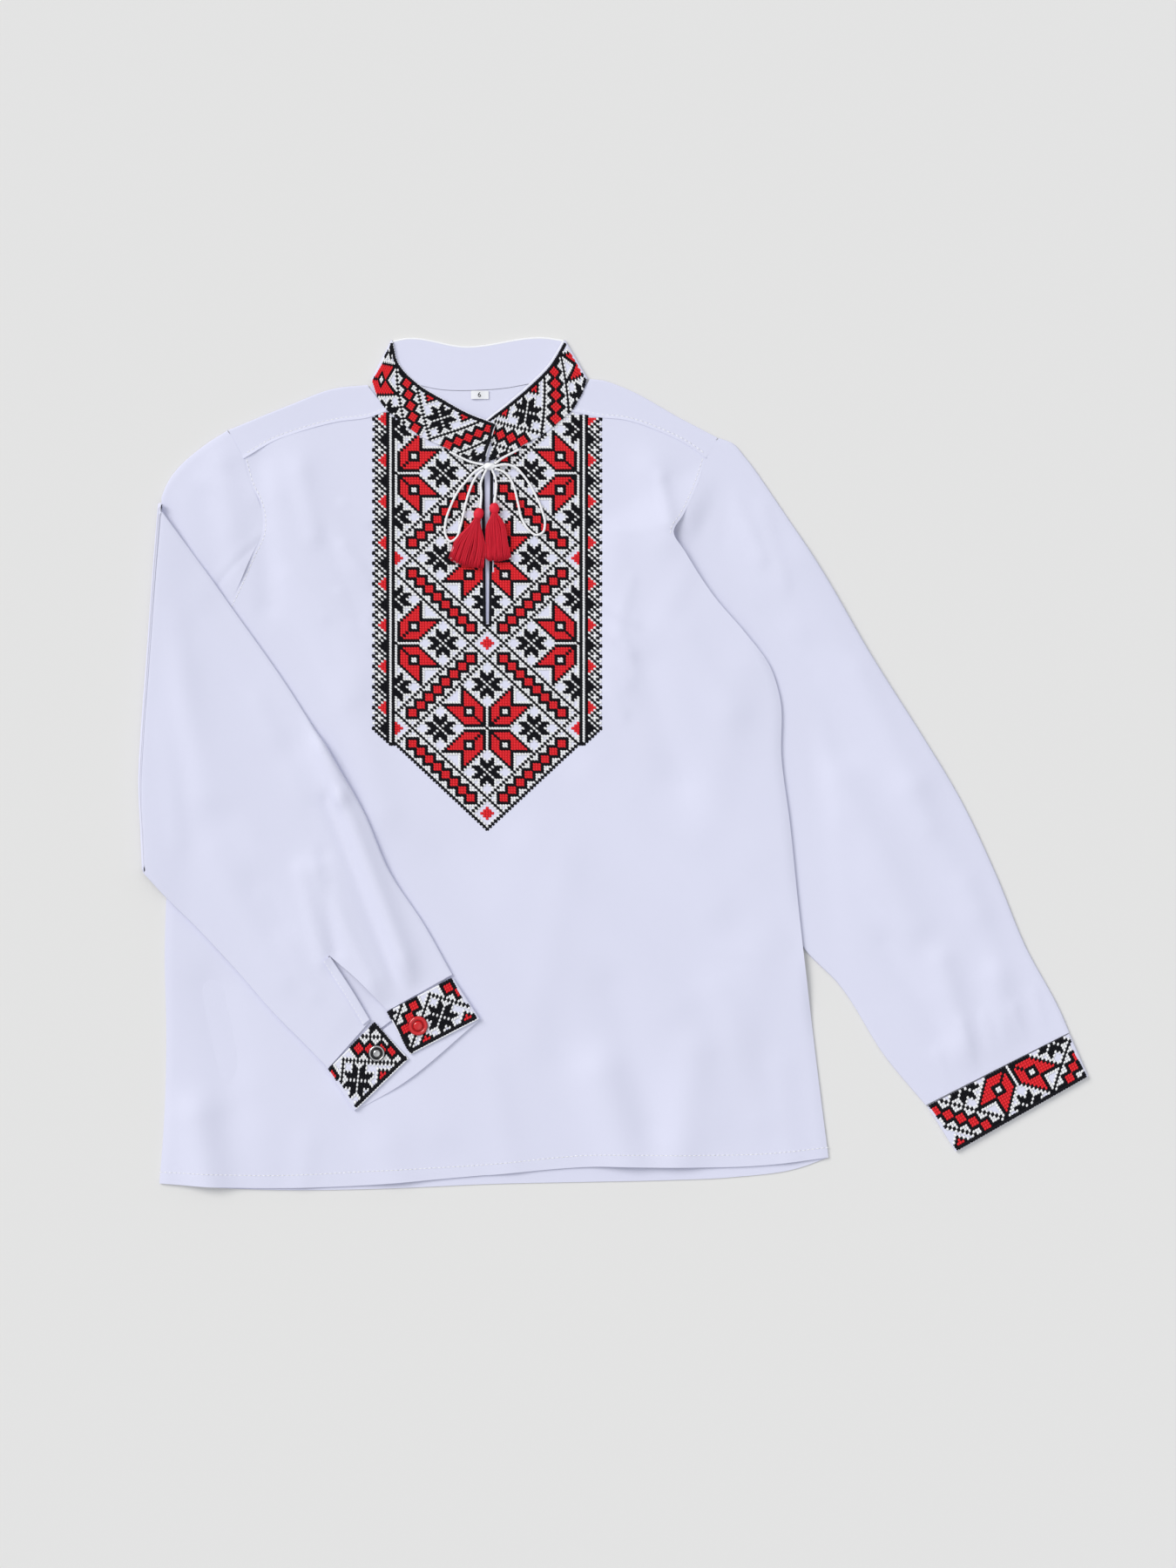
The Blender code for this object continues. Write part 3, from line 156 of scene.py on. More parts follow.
# Line along which the stretched sleeve lies under the body: y, x
TUCK_LINE = [
    (-280, 300), (-184.5, 200), (-156, 165), (-123.5, 126.5), (-42, 92.5), (43.5, 60.5), (100.5, 49),
    (129, 44), (152, 44), (162, 62), (181, 95), (200, 135), (280, 260),
]
OVERARM_RIGHT = [
    (68.5, 213.5), (79, 209.5), (86, 201.5), (108, 170.5), (138, 124.5), (169, 71), (204.5, 15), (227.5, -23),
    (250.5, -71.5), (270.5, -120), (293.5, -163), (299, -176),
]
HEAD_HIDDEN_RIGHT = [(43, 125), (49, 100.5)]
UNDERARM_RIGHT = [
    (49, 100.5), (60.5, 43.5), (92.5, -42), (126.5, -123.5), (146, -143), (179, -193.5), (204.5, -224),
]
OVERARM_LEFT = [(-252, 218.5), (-265, 210.5), (-292, 184.5), (-298, 170.5)]
UNDERARM_LEFT = [(-259, 92.6), (-274, 66.5), (-285.5, 35), (-293.5, -2), (-299.5, -36.5), (-305, -70.5)]
FOLD_OUTSIDE = [
    (-298, 170.5), (-301, 134.5), (-306, 65.5), (-309.5, 18.5), (-311, -10), (-309.5, -46.5), (-308.5, -70.5),
]
OVERARM_BACK = [
    (-298, 169.5), (-250, 103.5), (-203.5, 36), (-181, -4), (-164.5, -30), (-146.5, -70.5), (-124, -104),
    (-105, -137.8),
]
UNDERARM_BACK = [
    (-308.5, -70.5), (-292.5, -88), (-271, -109.5), (-246, -136.5), (-220.5, -165.5), (-200.5, -185.5),
    (-187, -199.5),
]
PLACKET_UPPER = (-147.5, -161.8)
PLACKET_LOWER = (-159.0, -168.6)
PLACKET_TIP_T = 0.565
PLACKET_TIP_S = 0.80
PLACKET_UPPER_T = 0.475
PLACKET_LOWER_T = 0.614
PLACKET_START_WIDTH_T = 0.008
BINDING_LEFT = [(-189.6, -129.4), (-174.5, -153), (-163.6, -171)]
BINDING_RIGHT = [(-185.4, -126.6), (-170, -150), (-159.6, -167.6)]
CUFF_RIGHT = [(205.5, -224.8, 224, -254), (252, -200.8, 268, -229), (299, -176.8, 311, -204.5)]
CUFF_LEFT_UPPER = [(-147.5, -162.5, -132.5, -190), (-104.5, -140, -87, -166.5)]
CUFF_LEFT_BACK = [(-104.5, -140, -87, -167.5), (-145.5, -170.5, -140, -211), (-187, -201, -169, -227.5)]
CUFF_LEFT_LOWER = [(-187, -201, -169, -227), (-156, -169.5, -134, -193)]
CUFF_CELLS = 5

# Soft ridges and troughs of the cloth: x, y where each starts, x, y where it ends, height, half width
FRONT_FOLDS = [
    (26, 190, 38, 150, 1.6, 13), (0, 140, 8, 55, 0.9, 12), (-222, 172, -168, 62, 1.5, 16),
    (-205, 196, -172, 130, 1, 13), (-272, -232, -264, -278, 2.6, 13), (-8, -205, 12, -268, 2.2, 16),
    (54, -190, 42, -266, 1.7, 15), (-62, -90, 40, -170, 1.1, 26), (-149, -254, -140, -278, 1.3, 15),
    (-232, 196, -225, 104, -0.9, 8), (-205, 190, -196, 150, 0.9, 7), (-176, 142, -160, 120, 0.5, 3.5),
    (-178, 112, -161, 96, 0.5, 3.2), (-172, 88, -160, 76, 0.4, 3), (-176, 170, -162, 158, 0.45, 3.5),
    (-6, 104, 14, 92, 0.5, 3), (-6, 88, 12, 72, 0.55, 3.2), (-6, 68, 10, 52, 0.45, 3),
    (-6, 46, 8, 34, 0.4, 3), (46, 82, 76, 36, 1, 12), (22, 60, 44, -10, -0.8, 11),
    (-52, -54, 38, -156, 1.3, 17), (38, -14, 120, -118, -1, 16), (-14, -8, 64, -92, 1.1, 13),
    (-110, -66, -30, -188, -0.9, 18), (-170, 40, -150, -30, 0.9, 12), (-262, -150, -246, -226, -1.1, 15),
    (-170, -214, -120, -240, 0.8, 14), (70, -150, 96, -230, 0.9, 13), (0, -150, 24, -236, -0.8, 13),
    (31, 186, 37, 158, 0.9, 4.5), (12, 120, 2, 84, 0.35, 4), (6, 84, 14, 60, 0.3, 3.5),
    (-4, 60, 6, 30, 0.3, 4), (60, 150, 30, 90, 0.5, 9), (84, 60, 60, -40, 0.6, 14),
    (20, -20, 88, -60, 0.5, 16), (-226, 150, -190, 96, 0.5, 5), (-214, 120, -176, 40, 0.45, 6),
    (-188, 150, -166, 96, -0.35, 5), (-120, -80, -60, -150, 0.4, 18), (-30, -60, -52, -180, 0.35, 12),
    (96, -120, 70, -230, 0.6, 15), (-80, -200, -66, -268, 0.5, 10), (110, -200, 116, -258, 0.5, 9),
    (-200, -250, -204, -277, 0.5, 9), (-240, -215, -228, -262, 0.5, 12),
]
CAP_FOLDS = [(-256, 196, -246, 130, 1.3, 9), (-282, 172, -276, 96, 0.7, 10), (-268, 186, -236, 172, 0.7, 4.5)]
SLEEVE_RIGHT_FOLDS = [
    (120, 128, 196, -6, 1.2, 15), (90, 150, 120, 90, 1, 12), (215, -130, 236, -206, 1.5, 9),
    (250, -140, 262, -196, 1.2, 9), (76, 178, 96, 136, 1, 6), (66, 190, 72, 148, -0.7, 6),
    (104, 90, 150, 10, -0.9, 13), (150, -10, 196, -104, 1.1, 12), (196, -20, 236, -96, 0.9, 11),
    (180, -120, 214, -176, -0.8, 9), (98, 168, 112, 118, 0.5, 5), (160, 60, 206, -40, 0.5, 8),
    (126, 40, 150, -30, 0.5, 12), (170, -80, 210, -150, 0.5, 12), (232, -80, 256, -140, 0.5, 8),
    (228, -170, 238, -207, 0.6, 3.2), (243, -165, 252, -200, 0.5, 3), (262, -160, 272, -190, 0.6, 3.2),
    (276, -150, 285, -182, 0.4, 3), (212, -190, 222, -214, 0.4, 3),
]
SLEEVE_LEFT_FOLDS = [
    (-188, 10, -130, -146, 2.2, 9), (-192, -70, -152, -152, 1.9, 8), (-285, 60, -240, -60, 1.2, 16),
    (-196, 30, -178, -22, 1.2, 5), (-178, -22, -131, -140, 1.3, 4.5), (-187, -24, -140, -146, -1.2, 4.5),
    (-190, -62, -181, -122, -0.9, 5), (-204, -70, -190, -128, 0.9, 5.5), (-262, 96, -214, 10, -0.8, 12),
    (-290, 90, -268, -20, 0.9, 10), (-250, -40, -220, -104, -0.8, 11), (-176, -30, -128, -144, -0.5, 4),
    (-184, -80, -150, -148, -0.4, 3.5), (-270, 110, -222, 20, 0.5, 9), (-296, 30, -284, -50, 0.5, 8),
    (-262, -60, -216, -140, 0.6, 9), (-230, -90, -196, -150, 0.4, 6), (-232, 40, -204, -20, 0.4, 7),
]


def length(name, description, value):
    """A size that the sidebar shows as a length."""
    return FloatProperty(name=name, description=description, default=value, unit="LENGTH")


class ShirtSizes(bpy.types.PropertyGroup):
    """Sizes of the cloth and its stitching."""

    shell: length("Cloth", "Thickness of the poplin", 0.0006)
    band_shell: length("Band", "Thickness of collar and cuffs", 0.0011)
    stitch_pitch: length("Stitch pitch", "Width of one cross-stitch", 0.001807)
    row_pitch: length("Row pitch", "Height of one row of stitches", 0.001687)
    stitch_height: length("Stitch height", "Rise of a stitch off the cloth", 0.00042)
    thread: length("Seam thread", "Width of a seam stitch", 0.0005)
    cord: length("Cord", "Diameter of the tie", 0.0016)


def colour(name, description, value):
    """A colour that the sidebar shows as a swatch."""
    return FloatVectorProperty(name=name, description=description, subtype="COLOR", default=value)


class ShirtColours(bpy.types.PropertyGroup):
    """Colours of the cloth, threads, studs and floor."""

    cloth: colour("Cloth", "White poplin with a cool tint", (0.745, 0.750, 0.892))
    white: colour("White thread", "White stitches, cord and piping", (0.97, 0.97, 0.98))
    black: colour("Black thread", "Black stitches and satin edge", (0.005, 0.005, 0.008))
    red: colour("Red thread", "Red stitches", (0.92, 0.026, 0.036))
    tassel: colour("Tassel", "Deeper red of the tassels", (0.74, 0.010, 0.034))
    cap: colour("Stud cap", "Glossy red of the press stud", (0.62, 0.006, 0.010))
    metal: colour("Stud metal", "Polished nickel", (0.62, 0.61, 0.60))
    floor: colour("Floor", "Plain pale surface", (0.795, 0.785, 0.762))


def sizes():
    return bpy.context.scene.shirt_sizes


def colours():
    return bpy.context.scene.shirt_colours


def smoothstep(value):
    """Eases from 0 to 1: three times the square less twice the cube."""
    bounded = np.clip(value, 0.0, 1.0)
    return bounded * bounded * (3.0 - 2.0 * bounded)


def curve(table, stations):
    """Cubic through a table's rows at fractions of its chord length.

    Its slope at a row is the mean of the chords' on both sides, each weighted by the other's length.
    """
    rows = np.array(table, float)
    chords = np.linalg.norm(np.diff(rows, axis=0), axis=1)
    places = np.concatenate([[0.0], np.cumsum(chords)])
    slopes = np.diff(rows, axis=0) / chords[:, None]
    tangents = np.vstack([slopes[:1], slopes[-1:]])
    if len(rows) > 2:
        before, after = chords[:-1, None], chords[1:, None]
        inner = (slopes[:-1] * after + slopes[1:] * before) / (before + after)
        tangents = np.vstack([slopes[:1], inner, slopes[-1:]])
    wanted = np.clip(np.asarray(stations, float), 0.0, 1.0) * places[-1]
    span = np.clip(np.searchsorted(places, wanted, side="right") - 1, 0, len(chords) - 1)
    length = chords[span]
    part = ((wanted - places[span]) / length)[:, None]
    rise = part * part * (3.0 - 2.0 * part)
    start = part * (1.0 - part) ** 2
    end = part * part * (part - 1.0)
    held = rows[span] * (1.0 - rise) + rows[span + 1] * rise
    return held + (start * tangents[span] + end * tangents[span + 1]) * length[:, None]


def spread(table, cells):
    """The curve through a table cut into equal stretches."""
    return curve(table, np.linspace(0.0, 1.0, cells + 1))


def x_at(table, heights):
    """x at given y of an edge that only rises."""
    fine = spread(table, FINE_STEPS)
    return np.interp(heights, fine[:, 1], fine[:, 0])


def y_at(table, widths):
    """y at given x of an edge that only runs right."""
    fine = spread(table, FINE_STEPS)
    return np.interp(widths, fine[:, 0], fine[:, 1])


def unit(vectors):
    """Vectors divided by their lengths."""
    return vectors / np.linalg.norm(vectors, axis=-1, keepdims=True)


def travelled(path):
    """Distance run along a path at each of its points."""
    return np.concatenate([[0.0], np.cumsum(np.linalg.norm(np.diff(path, axis=0), axis=1))])


def angles(count):
    """Equal steps round a full turn."""
    return 2.0 * np.pi * np.arange(count) / count


def aside(points, distance):
    """An edge moved level to the left of its run by a distance."""
    run = unit(np.gradient(points[:, :2], axis=0))
    moved = points.copy()
    moved[:, 0] -= run[:, 1] * distance
    moved[:, 1] += run[:, 0] * distance
    return moved


def joined(*edges):
    """Edges that follow each other, with each shared point kept once."""
    return np.vstack([edges[0]] + [edge[1:] for edge in edges[1:]])


def patch(low, high, left, right, across, along):
    """Coons patch: the two ruled sheets between facing edges, less the sheet between the four corners."""
    u = across[None, :, None]
    v = along[:, None, None]
    rows = (1.0 - v) * low[None] + v * high[None]
    columns = (1.0 - u) * left[:, None] + u * right[:, None]
    corners = (1.0 - v) * ((1.0 - u) * low[0] + u * low[-1]) + v * ((1.0 - u) * high[0] + u * high[-1])
    return rows + columns - corners


def raised(plan, height):
    """Points of the plane given their height."""
    height = np.broadcast_to(height, plan.shape[:-1])
    return np.concatenate([plan, height[..., None]], axis=-1)


def fold_height(plan, folds):
    """Sum of ridges: each is a bell across its line, and dies away as a wider bell past its ends."""
    total = np.zeros(plan.shape[:-1])
    for x0, y0, x1, y1, height, half_width in folds:
        start = np.array([x0, y0])
        run = np.array([x1, y1]) - start
        length = np.linalg.norm(run)
        run = run / length
        offset = plan - start
        along = offset @ run
        across = offset[..., 0] * run[1] - offset[..., 1] * run[0]
        past = np.maximum(np.maximum(-along, along - length), 0.0)
        end_width = FOLD_END_STRETCH * half_width
        total += FOLD_GAIN * height * np.exp(-((across / half_width) ** 2) - (past / end_width) ** 2)
    return total


def tuck_height(plan, lift, run):
    """Lift of the body over the stretched sleeve, easing in before the line of the sleeve's edge."""
    line = np.array(TUCK_LINE)
    edge_x = np.interp(plan[..., 1], line[:, 0], line[:, 1])
    return lift * smoothstep((plan[..., 0] - edge_x + TUCK_EASE + run) / run)


def front_height(plan):
    """Middle of the front panel: its folds and its lift, rolled down to the back at both side seams."""
    lift = tuck_height(plan, TUCK_LIFT + FRONT_EXTRA_LIFT, TUCK_RUN + FRONT_EXTRA_RUN)
    open_height = FRONT_Z + lift + fold_height(plan, FRONT_FOLDS)
    seam_height = BACK_Z + tuck_height(plan, TUCK_LIFT, TUCK_RUN) + SIDE_GAP
    x, y = plan[..., 0], plan[..., 1]
    inward = np.minimum(x_at(BODY_RIGHT, y) - x, x - x_at(BODY_LEFT, y))
    share = np.clip(1.0 - inward / SIDE_ROLL, 0.0, 1.0) ** 2 * smoothstep((SIDE_TOP_Y - y) / SIDE_EASE)
    return open_height + (seam_height - open_height) * share


def finer(stations, times):
    """Stations with each gap cut into equal parts."""
    places = np.arange(len(stations))
    wanted = np.linspace(0.0, len(stations) - 1.0, (len(stations) - 1) * times + 1)
    return np.interp(wanted, places, stations)


def body_stations(times):
    """Heights of the body's rows as fractions of its side: hem to underarm, then up the armhole."""
    low = np.linspace(0.0, UNDERARM_V, BODY_LOW_ROWS + 1)
    high = np.linspace(UNDERARM_V, 1.0, ARMHOLE_ROWS + 1)
    return finer(np.concatenate([low, high[1:]]), times)


def body_edge(table, stations):
    """Points of the body's edge at fractions of its height."""
    bottom, top = table[0][1], table[-1][1]
    heights = bottom + (top - bottom) * np.asarray(stations)
    return np.column_stack([x_at(table, heights), heights])


def hairpin(edge_a, edge_b, outward, steps):
    """Points of a half turn from one edge to the same edge a layer away, bulging outward."""
    turned = []
    for step in range(1, steps + 1):
        angle = math.pi * step / (steps + 1)
        middle = (edge_a + edge_b) / 2 + (edge_a - edge_b) / 2 * math.cos(angle)
        reach = np.linalg.norm(edge_a - edge_b, axis=-1) / 2 * math.sin(angle)
        turned.append(middle + outward * reach[..., None])
    return turned


def tube(front_layer, back_layer, out_start, out_end):
    """Flattened tube: a layer, a turn at its far edge, the other layer reversed, a turn at its near edge."""
    far = np.stack(hairpin(front_layer[:, -1], back_layer[:, -1], out_end, TUBE_TURN), axis=1)
    near = np.stack(hairpin(back_layer[:, 0], front_layer[:, 0], out_start, TUBE_TURN), axis=1)
    return np.concatenate([front_layer, far, back_layer[:, ::-1], near], axis=1)


def edge_outward(edge, side):
    """Level unit vectors that point away from a tube's edge, smoothed along it."""
    run = np.gradient(edge[:, :2], axis=0)
    outward = unit(np.column_stack([-run[:, 1], run[:, 0]]) * side)
    smoothed = outward.copy()
    smoothed[1:-1] = (outward[:-2] + 2.0 * outward[1:-1] + outward[2:]) / 4.0
    return np.column_stack([unit(smoothed), np.zeros(len(edge))])


# Meshes


def put_mesh(name, points, faces, material, smooth=True):
    """Mesh object from points in millimetres and an array of faces with equal corners."""
    faces = np.asarray(faces, np.int32)
    mesh = bpy.data.meshes.new(name)
    mesh.vertices.add(len(points))
    mesh.vertices.foreach_set("co", ((np.asarray(points, float) - DATUM) * MM).astype(np.float32).ravel())
    mesh.loops.add(faces.size)
    mesh.loops.foreach_set("vertex_index", faces.ravel())
    mesh.polygons.add(len(faces))
    corners = faces.shape[1]
    mesh.polygons.foreach_set("loop_start", np.arange(0, faces.size, corners, dtype=np.int32))
    mesh.update(calc_edges=True)
    mesh.validate()
    if smooth:
        mesh.shade_smooth()
    mesh.materials.append(material)
    obj = bpy.data.objects.new(name, mesh)
    bpy.context.scene.collection.objects.link(obj)
    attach(obj, "root")
    return obj


def grid_faces(rows, columns, around=False, keep=None):
    """Quads of a grid of points, seen from the side where rows run up and columns run right."""
    index = np.arange(rows * columns).reshape(rows, columns)
    right = np.roll(index, -1, axis=1) if around else index[:, 1:]
    left = index if around else index[:, :-1]
    quads = np.stack([left[:-1], right[:-1], right[1:], left[1:]], axis=-1)
    return quads[keep] if keep is not None else quads.reshape(-1, 4)


def cell_cross(corner):
    """Cross product of each cell's diagonals: its normal, as long as twice its area."""
    return np.cross(corner[:, 2] - corner[:, 0], corner[:, 3] - corner[:, 1])


def thin_cloth(name, mid, material, thickness, around=False, keep=None):
    """Closed shell half a thickness on each side of a grid of middle points, its rim creased.

    The offset follows each point's normal, the sum of the normals of the cells round it.
    """
    cells = grid_faces(mid.shape[0], mid.shape[1], around, keep)
    used, renumbered = np.unique(cells, return_inverse=True)
    points, cells = mid.reshape(-1, 3)[used], renumbered.reshape(-1, 4)
    cross = cell_cross(points[cells])
    normals = np.zeros_like(points)
    for k in range(4):
        np.add.at(normals, cells[:, k], cross)
    normals *= thickness / MM / 2 / np.linalg.norm(normals, axis=1)[:, None]
    count = len(points)
    start, end = cells.ravel(), np.roll(cells, -1, axis=1).ravel()
    lone = ~np.isin(start * count + end, end * count + start)
    start, end = start[lone], end[lone]
    rim = np.column_stack([end, start, start + count, end + count])
    faces = np.concatenate([cells, cells[:, ::-1] + count, rim])
    obj = put_mesh(name, np.concatenate([points + normals, points - normals]), faces, material)
    crease(obj.data, np.concatenate([rim[:, 1::-1], rim[:, 1::-1] + count]))
    return obj


def crease(mesh, pairs):
    """Marks the edges between pairs of points as sharp."""
    ends = np.empty(len(mesh.edges) * 2, np.int32)
    mesh.edges.foreach_get("vertices", ends)
    ends = np.sort(ends.reshape(-1, 2), axis=1).astype(np.int64)
    wanted = np.sort(pairs, axis=1).astype(np.int64)
    base = len(mesh.vertices)
    sharp = np.isin(ends[:, 0] * base + ends[:, 1], wanted[:, 0] * base + wanted[:, 1])
    mesh.edges.foreach_set("use_edge_sharp", sharp)
    mesh.update()


def lay_cloth(name, node, mid, thickness=None, around=False, keep=None):
    """Piece of cloth in place of its solid, which it hides."""
    obj = thin_cloth(name, mid, poplin(), sizes().shell if thickness is None else thickness, around, keep)
    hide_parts(node)


def put_capped(name, rings, start, end, material, flipped=False):
    """Closed tube over a grid whose rows are rings, each end drawn to a point."""
    count, sides = rings.shape[:2]
    quads = grid_faces(count, sides, around=True)
    around = np.arange(sides)
    after = (around + 1) % sides
    last, pole = (count - 1) * sides, count * sides
    faces = np.concatenate([
        quads[:, :3],
        quads[:, [0, 2, 3]],
        np.column_stack([after, around, np.full(sides, pole)]),
        np.column_stack([last + around, last + after, np.full(sides, pole + 1)]),
    ])
    points = np.vstack([rings.reshape(-1, 3), start, end])
    return put_mesh(name, points, faces[:, ::-1] if flipped else faces, material)


# Materials

BUMP_DEPTH = 0.0001


def group_of(name, inputs, outputs):
    """Empty shader group with its sockets."""
    group = bpy.data.node_groups.new(name, "ShaderNodeTree")
    for label, default in inputs:
        socket = group.interface.new_socket(name=label, in_out="INPUT", socket_type="NodeSocketFloat")
        socket.default_value = default
    for label in outputs:
        group.interface.new_socket(name=label, in_out="OUTPUT", socket_type="NodeSocketFloat")
    return group, group.nodes.new("NodeGroupInput"), group.nodes.new("NodeGroupOutput")


def maths(tree, operation, first, second):
    """Math node fed by two sockets."""
    node = tree.nodes.new("ShaderNodeMath")
    node.operation = operation
    tree.links.new(first, node.inputs[0])
    tree.links.new(second, node.inputs[1])
    return node.outputs[0]


def texture(group, given, place, kind, scale, **settings):
    """Procedural texture in the piece's own space, its scale one of the group's sockets."""
    node = group.nodes.new(kind)
    for label, value in settings.items():
        node.inputs[label].default_value = value
    group.links.new(place.outputs["Object"], node.inputs["Vector"])
    group.links.new(given.outputs[scale], node.inputs["Scale"])
    return node


def weave_group():
    """Plain weave: two crossed sets of waves, with soft cloudy patches laid over them."""
    if "plain weave" in bpy.data.node_groups:
        return bpy.data.node_groups["plain weave"]
    group, given, out = group_of("plain weave", [("Threads", 1900.0), ("Patches", 9.0)], ["Height", "Tone"])
    place = group.nodes.new("ShaderNodeTexCoord")
    heights = []
    for direction in ("X", "Y"):
        wave = texture(group, given, place, "ShaderNodeTexWave", "Threads", Distortion=0.6, Detail=1.0)
        wave.bands_direction = direction
        heights.append(wave.outputs["Fac"])
    cloud = texture(group, given, place, "ShaderNodeTexNoise", "Patches", Detail=3.0)
    group.links.new(maths(group, "ADD", heights[0], heights[1]), out.inputs["Height"])
    group.links.new(cloud.outputs["Fac"], out.inputs["Tone"])
    return group


def fibre_group():
    """Spun thread: noise for its plies times finer noise for its hairs."""
    if "spun thread" in bpy.data.node_groups:
        return bpy.data.node_groups["spun thread"]
    group, given, out = group_of("spun thread", [("Plies", 2600.0), ("Hairs", 5200.0)], ["Height", "Tone"])
    place = group.nodes.new("ShaderNodeTexCoord")
    plies, hairs = [
        texture(group, given, place, "ShaderNodeTexNoise", label, Detail=2.0).outputs["Fac"]
        for label in ("Plies", "Hairs")
    ]
    group.links.new(maths(group, "MULTIPLY", plies, hairs), out.inputs["Height"])
    group.links.new(plies, out.inputs["Tone"])
    return group


def material_of(name, base, group=None, shade=0.0, bump=0.0, **constants):
    """Principled material: a group's tone shades its colour by a share either way, its height is the bump."""
    name = f"shirt {name}"
    if name in bpy.data.materials:
        return bpy.data.materials[name]
    material = bpy.data.materials.new(name)
    material.use_nodes = True
    tree = material.node_tree
    shader = tree.nodes["Principled BSDF"]
    for socket, value in constants.items():
        shader.inputs[socket.replace("_", " ")].default_value = value
    shader.inputs["Base Color"].default_value = (*base, 1.0)
    if group is None:
        return material
    effect = tree.nodes.new("ShaderNodeGroup")
    effect.node_tree = group
    mix = tree.nodes.new("ShaderNodeMix")
    mix.data_type = "RGBA"
    mix.inputs["A"].default_value = (*[c * (1.0 - shade) for c in base], 1.0)
    mix.inputs["B"].default_value = (*[min(1.0, c * (1.0 + shade)) for c in base], 1.0)
    tree.links.new(effect.outputs["Tone"], mix.inputs["Factor"])
    tree.links.new(mix.outputs["Result"], shader.inputs["Base Color"])
    bumped = tree.nodes.new("ShaderNodeBump")
    bumped.inputs["Strength"].default_value = bump
    bumped.inputs["Distance"].default_value = BUMP_DEPTH
    tree.links.new(effect.outputs["Height"], bumped.inputs["Height"])
    tree.links.new(bumped.outputs["Normal"], shader.inputs["Normal"])
    return material


def poplin():
    """White poplin of every cloth piece."""
    finish = {"Roughness": 0.72, "Sheen_Weight": 0.12}
    return material_of("poplin", colours().cloth, weave_group(), shade=0.03, bump=0.25, **finish)


def thread(kind):
    """Thread of a named colour, with the shade, sheen and gloss that suit it."""
    shade, sheen, gloss = {
        "white": (0.05, 0.25, 0.4),
        "black": (0.3, 0.0, 0.14),
        "red": (0.2, 0.0, 0.2),
        "tassel": (0.3, 0.0, 0.35),
    }[kind]
    base = getattr(colours(), kind)
    finish = {"Roughness": 0.6, "Sheen_Weight": sheen, "Specular_IOR_Level": gloss}
    return material_of(f"{kind} thread", base, fibre_group(), shade=shade, bump=0.35, **finish)


# Cloth pieces


def front_plan():
    """Plan of the front panel as a grid, its slit's edges drawn apart, and which of its cells are kept."""
    rows = body_stations(FINE_BODY)
    cells = (SHOULDER_CELLS + NECK_CELLS) * FINE_BODY
    across = np.concatenate([np.linspace(0.0, 0.5, cells + 1), np.linspace(0.5, 1.0, cells + 1)])
    count = SHOULDER_CELLS * FINE_BODY
    top_left = joined(spread(YOKE_FRONT_LEFT, count), spread(NECK_FRONT_LEFT, count))
    top_right = joined(spread(NECK_FRONT_RIGHT, count), spread(YOKE_FRONT_RIGHT, count))
    high = np.vstack([top_left, top_right])
    hem_left = np.linspace(FRONT_HEM[0][0], SLIT_X, cells + 1)
    hem_right = np.linspace(SLIT_X, FRONT_HEM[-1][0], cells + 1)
    hem = np.concatenate([hem_left, hem_right])
    low = np.column_stack([hem, y_at(FRONT_HEM, hem)])
    left = body_edge(BODY_LEFT, rows)
    right = body_edge(BODY_RIGHT, rows)
    high[0] = left[-1]
    high[-1] = right[-1]
    plan = patch(low, high, left, right, across, rows)
    opened = np.clip((rows - UNDERARM_V) / (1.0 - UNDERARM_V), 0.0, 1.0)
    width = SLIT_END_WIDTH + (SLIT_TOP_WIDTH - SLIT_END_WIDTH) * opened
    to_left = SLIT_X - width / 2 - plan[:, cells, 0]
    to_right = SLIT_X + width / 2 - plan[:, cells + 1, 0]
    plan[:, : cells + 1, 0] += to_left[:, None] * 2.0 * across[: cells + 1]
    plan[:, cells + 1 :, 0] += to_right[:, None] * 2.0 * (1.0 - across[cells + 1 :])
    keep = np.ones((len(rows) - 1, len(across) - 1), bool)
    keep[BODY_LOW_ROWS * FINE_BODY :, cells] = False
    return plan, keep


def make_front():
    """Front panel on its plan, its height the sum of its folds and its lift over the sleeve."""
    plan, keep = front_plan()
    mid = raised(plan, front_height(plan))
    lay_cloth("front_panel", "front", mid, keep=keep)


def make_back():
    """Back panel, flat but where it passes over the stretched sleeve."""
    rows = body_stations(FINE_BACK)
    times = FINE_BACK
    neck = np.vstack([YOKE_BACK_LEFT[-1], spread(NECK_BACK, NECK_CELLS * times)])
    high = joined(spread(YOKE_BACK_LEFT, BACK_CELLS[0] * times), neck)
    high = joined(high, np.vstack([NECK_BACK[-1], spread(YOKE_BACK_RIGHT, BACK_CELLS[1] * times)]))
    high = aside(high, -GAP)
    left = np.vstack([body_edge(BODY_LEFT, rows), YOKE_BACK_LEFT[:1]])
    right = np.vstack([body_edge(BODY_RIGHT, rows), YOKE_BACK_RIGHT[-1:]])
    high[0] = left[-1]
    high[-1] = right[-1]
    across = (high[:, 0] - high[0, 0]) / (high[-1, 0] - high[0, 0])
    hem = BACK_HEM[0][0] + across * (BACK_HEM[-1][0] - BACK_HEM[0][0])
    low = np.column_stack([hem, y_at(BACK_HEM, hem)])
    plan = patch(low, high, left, right, across, np.append(rows * BACK_SIDE_SHARE, 1.0))
    mid = raised(plan, BACK_Z + tuck_height(plan, TUCK_LIFT, TUCK_RUN))
    lay_cloth("back_panel", "back", mid)


